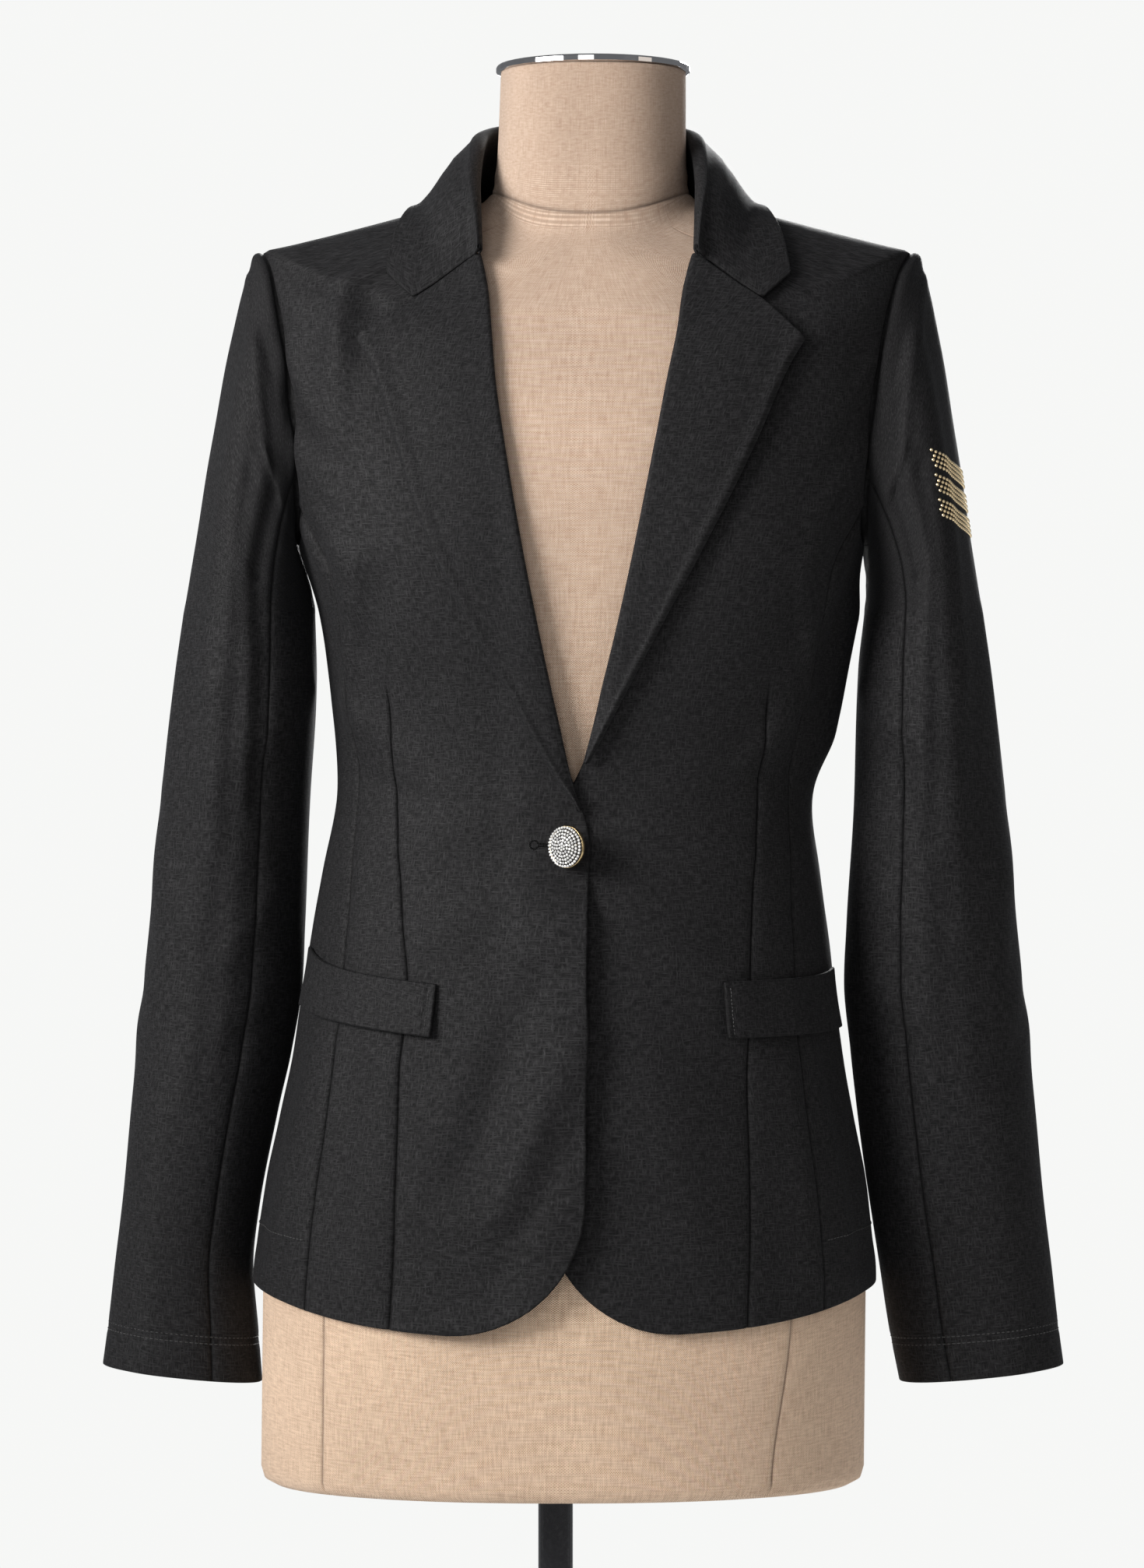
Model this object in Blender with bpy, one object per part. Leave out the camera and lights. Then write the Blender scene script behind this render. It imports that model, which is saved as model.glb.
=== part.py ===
"""One-button blazer worn on a linen dress form with a round stand.

Metres, +Z up. The front faces -Y and the wearer's right side is at -X. The
origin is the middle of the underside of the stand's base, on the pole's axis.
Every body panel is a wall on one torso surface, which is a function of the
turn round the body (0 at the front, 90 degrees at +X) and of a level, the
height of the loop at the front.
"""

import math

import bmesh
import bpy
import numpy as np
from mathutils import Vector
from mathutils.bvhtree import BVHTree

# Cloth
CLOTH = 0.0020
SEAM_GAP = 0.0003
LAY_GAP = 0.0004
LOOP_POWER = 2.3
RISE_POWER = 3.0

# Heights
HEM_LEVEL = 0.545
ARMHOLE_BOTTOM = 0.990
SHOULDER_TIP_LEVEL = 1.120
BUTTON_HEIGHT = 0.817

# Armhole, as turns forward and back from the side
ARMHOLE_FORWARD = math.radians(26.0)
ARMHOLE_BACKWARD = math.radians(24.0)
ARMHOLE_POWER = 2.4
ARMHOLE_CLEAR = 0.994
SIDE_PANEL_TURN = 130.0

# Sleeve
SLEEVE_MIDDLE_X = 0.016
BICEP_HEIGHT = 0.950
CUFF_HEIGHT = 0.510
CUFF_TILT = 0.005
SLEEVE_SEAM_TURN = 115.0
HEAD_REACH = 0.040

# Front edge
HEM_CORNER = 0.075
OVERLAP_LIFT = 0.0026
OVERLAP_START = -0.035
OVERLAP_FULL = -0.012

# Collar and lapels
COLLAR_MIDDLE_X = 0.0185
NOTCH_SHARE = 0.6
ROLL_RADIUS = 0.0026
LAPEL_BELLY = 0.0030
LAPEL_SEAT = 0.0010
LAPEL_TOP_LIFT = 0.0010
STAND_CLEAR = 0.0010

# Pocket flaps
FLAP_WALL = 0.0026
FLAP_STAND = 0.0016

# Button
BUTTON_RADIUS = 0.01225
BUTTON_RIM = 0.0032
BUTTON_DOME = 0.0042
BUTTON_STAND_OFF = 0.0098
BUTTON_X = 0.0076
BUTTON_TURN = math.radians(30.0)
SHANK_RADIUS = 0.0028
CUP_DEPTH = 0.0016

# Dress form and stand
FORM_BOTTOM = 0.450
NECK_TOP_LEVEL = 1.262
NECK_CAP_RADIUS = 0.0562
NECK_CAP_HEIGHT = 0.0042
POLE_RADIUS = 0.010
BASE_RADIUS = 0.175
BASE_HEIGHT = 0.014


def table(columns, rows):
    """Return a table as a dictionary of columns; the first column is the key."""
    return {name: np.array(values) for name, values in zip(columns.split(), zip(*rows))}


# Loops of the cloth's outer surface. half is half the width, front and back the
# depths from the side line, and the rises lift the loop at the side and back.
TORSO = table(
    "level side_rise half front back back_rise",
    [
        (0.4500, 0.0000, 0.1800, 0.1180, 0.1180, 0.0000),
        (0.5450, 0.0210, 0.1800, 0.1175, 0.1210, 0.0120),
        (0.5800, 0.0120, 0.1775, 0.1175, 0.1200, 0.0070),
        (0.6200, 0.0050, 0.1730, 0.1165, 0.1185, 0.0030),
        (0.6600, 0.0010, 0.1655, 0.1145, 0.1150, 0.0000),
        (0.7000, 0.0000, 0.1580, 0.1115, 0.1090, 0.0000),
        (0.7600, 0.0000, 0.1500, 0.1050, 0.0970, 0.0000),
        (0.8000, 0.0000, 0.1440, 0.0995, 0.0890, 0.0000),
        (0.8520, 0.0000, 0.1365, 0.0945, 0.0840, 0.0000),
        (0.9000, 0.0000, 0.1420, 0.1000, 0.0880, 0.0000),
        (0.9500, 0.0000, 0.1500, 0.1080, 0.0950, 0.0000),
        (0.9900, 0.0000, 0.1630, 0.1110, 0.1000, 0.0000),
        (1.0200, 0.0020, 0.1720, 0.1095, 0.1030, 0.0000),
        (1.0500, 0.0120, 0.1790, 0.1050, 0.1040, 0.0020),
        (1.0800, 0.0260, 0.1845, 0.0975, 0.1030, 0.0030),
        (1.1000, 0.0360, 0.1865, 0.0910, 0.1005, 0.0040),
        (1.1200, 0.0380, 0.1870, 0.0835, 0.0970, 0.0050),
        (1.1275, 0.0355, 0.1700, 0.0800, 0.0930, 0.0095),
        (1.1350, 0.0335, 0.1480, 0.0768, 0.0885, 0.0140),
        (1.1500, 0.0300, 0.1050, 0.0725, 0.0785, 0.0230),
        (1.1650, 0.0270, 0.0640, 0.0680, 0.0650, 0.0320),
        (1.1850, 0.0150, 0.0570, 0.0600, 0.0585, 0.0180),
        (1.2050, 0.0060, 0.0548, 0.0560, 0.0555, 0.0070),
        (1.2620, 0.0000, 0.0535, 0.0540, 0.0540, 0.0000),
    ],
)

# The whole figure leans a little to +X as it rises.
LEAN = table(
    "height shift",
    [
        (0.00, 0.0000),
        (0.45, 0.0040),
        (0.55, 0.0050),
        (0.70, 0.0070),
        (0.852, 0.0105),
        (0.94, 0.0140),
        (1.12, 0.0160),
        (1.20, 0.0205),
        (1.30, 0.0225),
    ],
)

# Room from the cloth's outer surface in to the dress form.
EASE = table(
    "level room",
    [
        (0.450, 0.0060),
        (0.545, 0.0060),
        (0.700, 0.0072),
        (0.852, 0.0062),
        (0.980, 0.0042),
        (1.050, 0.0038),
        (1.120, 0.0038),
        (1.165, 0.0046),
        (1.195, 0.0000),
        (1.262, 0.0000),
    ],
)

# Turns of the long seams from the front, in degrees, up to the armhole.
SEAMS = table(
    "level front_seam back_seam",
    [
        (0.545, 52.5, 124.0),
        (0.620, 52.5, 123.0),
        (0.700, 54.0, 121.0),
        (0.776, 57.0, 119.0),
        (0.860, 63.0, 117.0),
        (0.920, 61.5, 116.0),
        (0.970, 58.5, 114.0),
        (0.995, 64.0, 111.0),
        (1.010, 69.2, 109.2),
    ],
)

# Front edges below the button and roll lines above it, as X.
EDGES = table(
    "level over under",
    [
        (0.545, 0.0165, -0.0060),
        (0.700, 0.0170, -0.0060),
        (0.760, 0.0178, -0.0060),
        (0.802, 0.0190, -0.0060),
        (0.816, 0.0200, -0.0050),
        (0.826, 0.0186, -0.0030),
        (0.840, 0.0147, 0.0030),
        (0.855, 0.0099, 0.0110),
        (0.874, 0.0047, 0.0172),
        (0.898, -0.0010, 0.0246),
        (1.045, -0.0290, 0.0566),
        (1.078, -0.0338, 0.0630),
        (1.106, -0.0362, 0.0690),
        (1.136, -0.0395, 0.0740),
        (1.150, -0.0425, 0.0775),
        (1.163, -0.0465, 0.0855),
    ],
)

# Outer edges of the lapels, as X against height.
OVER_LAPEL = table(
    "height edge",
    [
        (0.8360, 0.0130),
        (0.8520, 0.0013),
        (0.8730, -0.0104),
        (0.8980, -0.0238),
        (0.9760, -0.0630),
        (1.0300, -0.0840),
        (1.0530, -0.0915),
        (1.0830, -0.1015),
        (1.1026, -0.1105),
    ],
)
UNDER_LAPEL = table(
    "height edge",
    [
        (0.8640, 0.0195),
        (0.8980, 0.0370),
        (0.9760, 0.0768),
        (1.0450, 0.1120),
        (1.0870, 0.1310),
        (1.1010, 0.1390),
    ],
)

# The gorge, where a lapel meets the collar, as X from the collar's middle and height.
GORGE_START = (0.0610, 1.1500)
GORGE_NOTCH = (0.1000, 1.1240)
COLLAR_TIP = (0.1160, 1.1390)

# Collar stations from the gorge to the middle of the back. Each has its fold,
# the leaf's outer edge and the seam on the neckline, from the collar's middle.
COLLAR = table(
    "station fold_x fold_y fold_z edge_x edge_y edge_z seam_x seam_y seam_z",
    [
        (0.00, 0.0610, -0.0760, 1.1560, 0.1160, -0.0600, 1.1390, 0.0620, -0.0750, 1.1500),
        (0.12, 0.0620, -0.0640, 1.1790, 0.1110, -0.0430, 1.1540, 0.0640, -0.0610, 1.1670),
        (0.25, 0.0630, -0.0460, 1.1980, 0.1035, -0.0220, 1.1740, 0.0650, -0.0420, 1.1820),
        (0.40, 0.0620, -0.0200, 1.2170, 0.0990, 0.0030, 1.1850, 0.0670, -0.0150, 1.1930),
        (0.55, 0.0600, 0.0080, 1.2290, 0.0925, 0.0330, 1.1830, 0.0660, 0.0120, 1.1960),
        (0.70, 0.0490, 0.0360, 1.2370, 0.0740, 0.0620, 1.1760, 0.0540, 0.0400, 1.1980),
        (0.85, 0.0265, 0.0545, 1.2410, 0.0400, 0.0815, 1.1680, 0.0300, 0.0590, 1.1990),
        (1.00, 0.0000, 0.0605, 1.2430, 0.0000, 0.0880, 1.1640, 0.0000, 0.0650, 1.2000),
    ],
)

# Sleeve outline below the cap, from the sleeves' middle line in X.
SLEEVE = table(
    "drop outer right_inner left_inner middle_y half_depth",
    [
        (0.000, 0.2300, 0.1550, 0.1625, -0.0020, 0.0590),
        (0.032, 0.2350, 0.1540, 0.1590, -0.0020, 0.0580),
        (0.104, 0.2434, 0.1580, 0.1570, 0.0040, 0.0540),
        (0.176, 0.2510, 0.1613, 0.1530, 0.0100, 0.0500),
        (0.212, 0.2550, 0.1630, 0.1515, 0.0120, 0.0480),
        (0.250, 0.2587, 0.1690, 0.1550, 0.0130, 0.0465),
        (0.284, 0.2620, 0.1770, 0.1590, 0.0140, 0.0450),
        (0.340, 0.2675, 0.1880, 0.1668, 0.0170, 0.0420),
        (0.374, 0.2715, 0.1920, 0.1725, 0.0200, 0.0400),
        (0.410, 0.2755, 0.1890, 0.1780, 0.0200, 0.0375),
        (0.440, 0.2795, 0.1865, 0.1840, 0.0190, 0.0350),
    ],
)

# Largest folds of the body: a soft ridge along a line from a to b, in degrees
# of turn and metres of level, with its width and height.
BODY_FOLDS = table(
    "turn_a level_a turn_b level_b width height",
    [
        (-50.0, 0.985, -60.0, 0.890, 0.016, 0.0030),
        (-3.0, 0.715, -16.0, 0.610, 0.014, 0.0030),
        (-4.0, 0.650, -12.0, 0.590, 0.010, 0.0018),
        (-34.0, 1.125, -46.0, 1.070, 0.014, 0.0018),
        (60.0, 0.960, 52.0, 0.880, 0.018, 0.0030),
        (36.0, 1.120, 47.0, 1.075, 0.014, 0.0015),
        (84.0, 0.945, 84.0, 0.882, 0.026, 0.0112),
        (150.0, 0.880, 118.0, 0.840, 0.012, 0.0022),
        (-148.0, 0.900, -116.0, 0.852, 0.012, 0.0024),
        (158.0, 0.800, 124.0, 0.822, 0.012, 0.0020),
        (-160.0, 0.812, -126.0, 0.828, 0.011, 0.0018),
    ],
)
FOLD_TURN_REACH = 0.13

# Bust mounds of the cut.
BUST_TURN = 42.0
BUST_LEVEL = 0.972
BUST_HEIGHT = 0.0100
BUST_TURN_WIDTH = 27.0
BUST_RISE_WIDTH = 0.058

# Sleeve folds along and across: turn and drop of both ends, width, height.
SLEEVE_FOLDS = table(
    "turn_a run_a turn_b run_b width height",
    [
        (62.0, 0.25, 84.0, 1.30, 0.010, 0.0028),
        (-50.0, 1.20, 60.0, 1.42, 0.014, 0.0016),
        (150.0, 1.05, 80.0, 1.22, 0.012, 0.0022),
        (-60.0, 1.62, 40.0, 1.50, 0.013, 0.0014),
        (-110.0, 1.05, -40.0, 1.24, 0.013, 0.0020),
    ],
)

POCKETS = table(
    "side start_turn end_turn start_low start_high end_low end_high",
    [
        (-1, 25.5, 77.0, 0.7100, 0.7400, 0.7235, 0.7525),
        (1, 31.0, 79.0, 0.7090, 0.7410, 0.7115, 0.7435),
    ],
)

BODY_LEVELS = (
    0.545,
    0.5475,
    0.555,
    0.567,
    0.583,
    0.602,
    0.625,
    0.665,
    0.705,
    0.745,
    0.782,
    0.817,
    0.840,
    0.858,
    0.885,
    0.915,
    0.945,
    0.970,
    0.992,
)
SHOULDER_LEVELS = (1.1275, 1.138, 1.148, 1.1535, 1.1575, 1.1607, 1.163)
ARMHOLE_TURNS = (0.0, 20.0, 40.0, 60.0, 80.0, 98.0, 115.0, 130.0)
UNDERARM_TURNS = (130.0, 147.0, 164.0, 180.0, 196.0, 213.0, 230.0)
CAP_SHARES = (0.0, 0.07, 0.16, 0.28, 0.42, 0.58, 0.76, 1.0)
COLLAR_STATIONS = (0.0, 0.06, 0.14, 0.25, 0.34, 0.43, 0.52, 0.61, 0.7, 0.78, 0.86, 0.93, 1.0)
FRONT_SHARES = np.linspace(0.0, 1.0, 11)
BACK_SHARES = np.linspace(0.0, 1.0, 9)


def clear_scene():
    """Remove what the file opens with."""
    for item in list(bpy.data.objects):
        bpy.data.objects.remove(item, do_unlink=True)


def material(name, colour, roughness, metallic=0.0):
    """Make a plain Principled material."""
    made = bpy.data.materials.new(name)
    made.use_nodes = True
    shader = made.node_tree.nodes["Principled BSDF"]
    shader.inputs["Base Color"].default_value = (*colour, 1.0)
    shader.inputs["Roughness"].default_value = roughness
    shader.inputs["Metallic"].default_value = metallic
    made.diffuse_color = (*colour, 1.0)
    return made


def monotone(keys, values, at):
    """Read a smooth curve through the table's points that never overshoots them."""
    steps = np.diff(keys)
    rates = np.diff(values) / steps
    slopes = np.zeros(len(keys))
    slopes[0] = rates[0]
    slopes[-1] = rates[-1]
    for index in range(1, len(keys) - 1):
        before, after = rates[index - 1], rates[index]
        if before * after > 0.0:
            weight_before = 2.0 * steps[index] + steps[index - 1]
            weight_after = steps[index] + 2.0 * steps[index - 1]
            slopes[index] = (weight_before + weight_after) / (
                weight_before / before + weight_after / after
            )
    at = np.clip(at, keys[0], keys[-1])
    place = np.clip(np.searchsorted(keys, at) - 1, 0, len(keys) - 2)
    step = steps[place]
    share = (at - keys[place]) / step
    square, cube = share**2, share**3
    return (
        (2 * cube - 3 * square + 1) * values[place]
        + (cube - 2 * square + share) * step * slopes[place]
        + (3 * square - 2 * cube) * values[place + 1]
        + (cube - square) * step * slopes[place + 1]
    )


def read(source, column, at):
    """Read one column of a table at a value of its first column."""
    keys = next(iter(source.values()))
    return monotone(keys, source[column], at)


def signed_power(value, power):
    return np.sign(value) * np.abs(value) ** power


def smooth_step(value):
    value = np.clip(value, 0.0, 1.0)
    return value * value * (3.0 - 2.0 * value)


def unit(vectors):
    return vectors / np.linalg.norm(vectors, axis=-1, keepdims=True)


def line_relief(u, v, start, end, width, height):
    """Height of a soft ridge along a line, fading out at both ends."""
    run = np.array(end) - np.array(start)
    length = np.hypot(*run)
    along = ((u - start[0]) * run[0] + (v - start[1]) * run[1]) / length**2
    near = np.clip(along, 0.0, 1.0)
    gap = np.hypot(u - start[0] - near * run[0], v - start[1] - near * run[1])
    return height * np.exp(-((gap / width) ** 2))


def folds_relief(folds, turn, run, turn_reach, run_reach):
    """Sum of a table of folds, measured in metres on the surface."""
    columns = list(folds.values())
    total = np.zeros(np.broadcast(turn, run).shape)
    for turn_a, run_a, turn_b, run_b, width, height in zip(*columns):
        start = (math.radians(turn_a) * turn_reach, run_a * run_reach)
        end = (math.radians(turn_b) * turn_reach, run_b * run_reach)
        total = total + line_relief(turn * turn_reach, run * run_reach, start, end, width, height)
    return total


def torso(turn, level, folds=True):
    """Point of the cloth's outer surface at a turn and a level."""
    turn, level = np.broadcast_arrays(turn, level)
    sine, cosine = np.sin(turn), np.cos(turn)
    bend = 2.0 / LOOP_POWER
    facing_front = cosine > 0.0
    depth = np.where(facing_front, read(TORSO, "front", level), read(TORSO, "back", level))
    rise = np.where(facing_front, 0.0, read(TORSO, "back_rise", level))
    side_rise = read(TORSO, "side_rise", level)
    x = read(TORSO, "half", level) * signed_power(sine, bend)
    y = -depth * signed_power(cosine, bend)
    z = level + rise + (side_rise - rise) * np.abs(sine) ** RISE_POWER
    turn_gap = (np.degrees(np.abs(turn)) - BUST_TURN) / BUST_TURN_WIDTH
    rise_gap = (level - BUST_LEVEL) / BUST_RISE_WIDTH
    out = BUST_HEIGHT * np.exp(-(turn_gap**2) - rise_gap**2)
    if folds:
        out = out + folds_relief(BODY_FOLDS, turn, level, FOLD_TURN_REACH, 1.0)
    x = x + sine * out + read(LEAN, "shift", z)
    y = y - cosine * out
    return np.stack([x, y, z], axis=-1)


def torso_normal(turn, level, folds=True):
    """Outward direction of the torso surface."""
    turn_step, level_step = 0.02, 0.002
    across = torso(turn + turn_step, level, folds) - torso(turn - turn_step, level, folds)
    upward = torso(turn, level + level_step, folds) - torso(turn, level - level_step, folds)
    return unit(np.cross(across, upward))


def turn_at(x, level):
    """Turn on the front half at which the torso surface has a given X."""
    share = (x - read(LEAN, "shift", level)) / read(TORSO, "half", level)
    return np.arcsin(signed_power(np.clip(share, -1.0, 1.0), LOOP_POWER / 2.0))


def place_at(x, height):
    """Turn and level on the front half of the torso point with a given X and height."""
    level = np.array(height, dtype=float)
    for _ in range(12):
        turn = turn_at(x, level)
        rise = read(TORSO, "side_rise", level) * np.abs(np.sin(turn)) ** RISE_POWER
        level = level + 0.6 * (height - rise - level)
    return turn_at(x, level), level


def armhole(turn_degrees, clear=1.0):
    """Turn and level of the armhole; 0 is the shoulder, 90 the front, 180 the underarm."""
    angle = np.radians(turn_degrees)
    reach = np.where(np.sin(angle) > 0.0, ARMHOLE_FORWARD, ARMHOLE_BACKWARD)
    middle = (ARMHOLE_BOTTOM + SHOULDER_TIP_LEVEL) / 2.0
    half = (SHOULDER_TIP_LEVEL - ARMHOLE_BOTTOM) / 2.0
    bend = 2.0 / ARMHOLE_POWER
    turn = math.pi / 2.0 - clear * reach * signed_power(np.sin(angle), bend)
    level = middle + clear * half * signed_power(np.cos(angle), bend)
    return turn, level


def make_solid(name, points, faces, finish):
    """Make one closed object from points and faces, with its faces pointing out."""
    mesh = bpy.data.meshes.new(name)
    mesh.from_pydata([tuple(map(float, point)) for point in points], [], faces)
    work = bmesh.new()
    work.from_mesh(mesh)
    bmesh.ops.recalc_face_normals(work, faces=work.faces)
    if work.calc_volume(signed=True) < 0.0:
        bmesh.ops.reverse_faces(work, faces=work.faces)
    work.to_mesh(mesh)
    work.free()
    made = bpy.data.objects.new(name, mesh)
    bpy.context.scene.collection.objects.link(made)
    mesh.materials.append(finish)
    mesh.shade_smooth()
    mesh.set_sharp_from_angle(angle=math.radians(40.0))
    return made


def wall(name, outer, inner, finish):
    """Make a closed wall between two grids of points with the same rows and columns."""
    rows, columns = outer.shape[:2]
    count = rows * columns
    points = np.concatenate([outer.reshape(-1, 3), inner.reshape(-1, 3)])
    faces = []
    for row in range(rows - 1):
        for column in range(columns - 1):
            first = row * columns + column
            loop = (first, first + 1, first + columns + 1, first + columns)
            faces.append(loop)
            faces.append(tuple(count + index for index in reversed(loop)))
    rim = [column for column in range(columns)]
    rim += [row * columns + columns - 1 for row in range(1, rows)]
    rim += [(rows - 1) * columns + column for column in range(columns - 2, -1, -1)]
    rim += [row * columns for row in range(rows - 2, 0, -1)]
    for here, there in zip(rim, rim[1:] + rim[:1]):
        faces.append((here, count + here, count + there, there))
    return make_solid(name, points, faces, finish)


def loft(name, rings, finish):
    """Make a closed solid through rings of points, with flat ends."""
    count = len(rings[0])
    points = np.concatenate(rings)
    faces = [tuple(range(count))]
    for ring in range(len(rings) - 1):
        for index in range(count):
            following = (index + 1) % count
            low, high = ring * count, (ring + 1) * count
            faces.append((low + index, low + following, high + following, high + index))
    last = (len(rings) - 1) * count
    faces.append(tuple(last + index for index in range(count)))
    return make_solid(name, points, faces, finish)


def turned(name, profile, finish, sides, centre=(0.0, 0.0, 0.0)):
    """Make a solid of revolution about a vertical axis from (radius, height) points."""
    angles = np.linspace(0.0, 2.0 * math.pi, sides, endpoint=False)
    rings = []
    for radius, height in profile:
        ring = [np.cos(angles) * radius, np.sin(angles) * radius, np.full(sides, height)]
        rings.append(np.stack(ring, axis=-1) + np.array(centre))
    return loft(name, rings, finish)


def body_levels():
    """Levels of the rows that all body panels share up to the side panel's corners."""
    corner = float(armhole(SIDE_PANEL_TURN)[1])
    return list(BODY_LEVELS) + [corner]


def armhole_rows():
    """Rows of a front or back panel along the armhole and the shoulder seam."""
    turns = [turn for turn in reversed(ARMHOLE_TURNS) if turn < SIDE_PANEL_TURN]
    return [float(armhole(turn)[1]) for turn in turns]


def outer_border(level_list, column, forward):
    """Turn of a front or back panel's outer border on each row."""
    low_count = len(body_levels())
    turns = [math.radians(float(read(SEAMS, column, level))) for level in level_list[:low_count]]
    for turn in reversed(ARMHOLE_TURNS):
        if turn < SIDE_PANEL_TURN:
            place = armhole(turn if forward else 360.0 - turn)[0]
            turns.append(float(place))
    turns += [math.pi / 2.0] * len(SHOULDER_LEVELS)
    return np.array(turns)


def edge_x(level, column):
    """X of a front edge, with the round corner at the hem."""
    x = read(EDGES, column, level)
    drop = np.clip((HEM_LEVEL + HEM_CORNER - level) / HEM_CORNER, 0.0, 1.0)
    cut = HEM_CORNER * (1.0 - np.sqrt(1.0 - drop**2))
    return x - cut if column == "over" else x + cut


def overlap_lift(x):
    """Height of the over front above the under front near the middle."""
    return OVERLAP_LIFT * smooth_step((x - OVERLAP_START) / (OVERLAP_FULL - OVERLAP_START))


def panel(name, turn, level, finish, lift=0.0, thickness=CLOTH):
    """Make a wall on the torso surface."""
    outer = torso(turn, level)
    normal = torso_normal(turn, level)
    outer = outer + normal * np.broadcast_to(lift, turn.shape)[..., None]
    return wall(name, outer, outer - normal * thickness, finish)


def make_front(name, side, finish):
    """Make one whole front, from its edge or roll line to the side seam and armhole."""
    levels = body_levels() + armhole_rows() + list(SHOULDER_LEVELS)
    column = "over" if side < 0 else "under"
    border = side * (outer_border(levels, "front_seam", True) - SEAM_GAP / FOLD_TURN_REACH)
    rows_level = np.array(levels)
    edge = turn_at(edge_x(rows_level, column), rows_level)
    turn = edge[:, None] + (border - edge)[:, None] * FRONT_SHARES[None, :]
    level = np.repeat(rows_level[:, None], len(FRONT_SHARES), axis=1)
    lift = 0.0
    if side < 0:
        lift = overlap_lift(torso(turn, level)[..., 0])
    return panel(name, turn, level, finish, lift)


def make_back(name, side, finish):
    """Make one back, from the side seam, armhole and shoulder to the middle seam."""
    levels = body_levels() + armhole_rows() + list(SHOULDER_LEVELS)
    gap = SEAM_GAP / FOLD_TURN_REACH
    border = outer_border(levels, "back_seam", False) + gap
    turn = border[:, None] + (math.pi - gap - border)[:, None] * BACK_SHARES[None, :]
    level = np.repeat(np.array(levels)[:, None], len(BACK_SHARES), axis=1)
    return panel(name, side * turn, level, finish)


def make_side(name, side, finish):
    """Make one side panel, whose top edge is the underarm part of the armhole."""
    turns, tops = armhole(np.array(UNDERARM_TURNS))
    share = (turns - turns[0]) / (turns[-1] - turns[0])
    levels = np.array(body_levels())
    reach = (tops - HEM_LEVEL) / (levels[-1] - HEM_LEVEL)
    level = HEM_LEVEL + (levels[:, None] - HEM_LEVEL) * reach[None, :]
    low = np.radians(read(SEAMS, "front_seam", level))
    high = np.radians(read(SEAMS, "back_seam", level))
    turn = low + (high - low) * share[None, :]
    return panel(name, side * turn, level, finish)


def sleeve_ring(side, drop, angle):
    """Point of a sleeve below the cap; the angle is 0 outside and 90 degrees in front."""
    outer = read(SLEEVE, "outer", drop)
    inner = read(SLEEVE, "right_inner" if side < 0 else "left_inner", drop)
    middle, half = (outer + inner) / 2.0, (outer - inner) / 2.0
    share = drop / (BICEP_HEIGHT - CUFF_HEIGHT)
    x = SLEEVE_MIDDLE_X + side * (middle + half * np.cos(angle))
    y = read(SLEEVE, "middle_y", drop) - read(SLEEVE, "half_depth", drop) * np.sin(angle)
    z = BICEP_HEIGHT - drop + CUFF_TILT * np.cos(angle) * share**2
    return np.stack(np.broadcast_arrays(x, y, z), axis=-1)


def sleeve_cap(side, angle, share):
    """Point of a sleeve's cap, which turns from the armhole down to the upper arm."""
    turn, level = armhole(np.degrees(angle) % 360.0, ARMHOLE_CLEAR)
    start = torso(side * turn, level)
    seat = torso_normal(side * turn, level)
    top = (1.0 + np.cos(angle)) / 2.0
    start = start + seat * (0.0004 + 0.0006 * top)[..., None]
    end = sleeve_ring(side, np.zeros_like(angle), angle)
    below = sleeve_ring(side, np.full_like(angle, 0.004), angle)
    length = np.linalg.norm(end - start, axis=-1)
    heading = np.stack(
        [side * (0.15 + 0.85 * top), -0.45 * np.sin(angle), -0.15 - 0.85 * (1.0 - top)], axis=-1
    )
    leave = unit(heading) * (HEAD_REACH * top + 0.35 * length * (1.0 - top))[..., None]
    arrive = unit(below - end) * (1.35 * length)[..., None]
    square, cube = share**2, share**3
    return (
        start * (2 * cube - 3 * square + 1)[..., None]
        + leave * (cube - 2 * square + share)[..., None]
        + end * (3 * square - 2 * cube)[..., None]
        + arrive * (cube - square)[..., None]
    )


def sleeve(side, angle, run):
    """Point of a sleeve's outer surface; run is 0 at the armhole, 1 below the cap, 2 at the cuff."""
    angle, run = np.broadcast_arrays(angle, run)
    cap = sleeve_cap(side, angle, np.clip(run, 0.0, 1.0))
    drop = np.clip(run - 1.0, 0.0, 1.0) * (BICEP_HEIGHT - CUFF_HEIGHT)
    tube = sleeve_ring(side, drop, angle)
    point = np.where((run <= 1.0)[..., None], cap, tube)
    round_angle = (angle + math.pi) % (2.0 * math.pi) - math.pi
    relief = folds_relief(SLEEVE_FOLDS, round_angle, run, 0.045, 0.36)
    relief = relief * smooth_step(run / 0.2)
    outward = np.stack(
        [side * np.cos(angle), -np.sin(angle), np.zeros_like(angle)], axis=-1
    )
    away = np.clip(1.25 + np.cos(angle), 0.0, 1.0)
    return point + outward * (relief * away)[..., None]


def sleeve_normal(side, angle, run):
    """Outward direction of a sleeve's surface."""
    angle_step, run_step = 0.03, 0.01
    low, high = np.maximum(run - run_step, 0.0), np.minimum(run + run_step, 2.0)
    across = sleeve(side, angle + angle_step, run) - sleeve(side, angle - angle_step, run)
    down = sleeve(side, angle, high) - sleeve(side, angle, low)
    return unit(np.cross(across, down)) * side


def make_sleeve_half(name, side, turns, finish):
    """Make the top or the under sleeve over a range of turns round the arm."""
    angles = np.radians(np.array(turns, dtype=float))
    gap = math.radians(0.25)
    angles[0] += gap
    angles[-1] -= gap
    drops = np.linspace(0.0, 1.0, 13)[1:]
    runs = np.array(list(CAP_SHARES) + [1.0 + drop for drop in drops])
    angle, run = np.meshgrid(angles, runs)
    outer = sleeve(side, angle, run)
    normal = sleeve_normal(side, angle, run)
    return wall(name, outer, outer - normal * CLOTH, finish)


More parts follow.
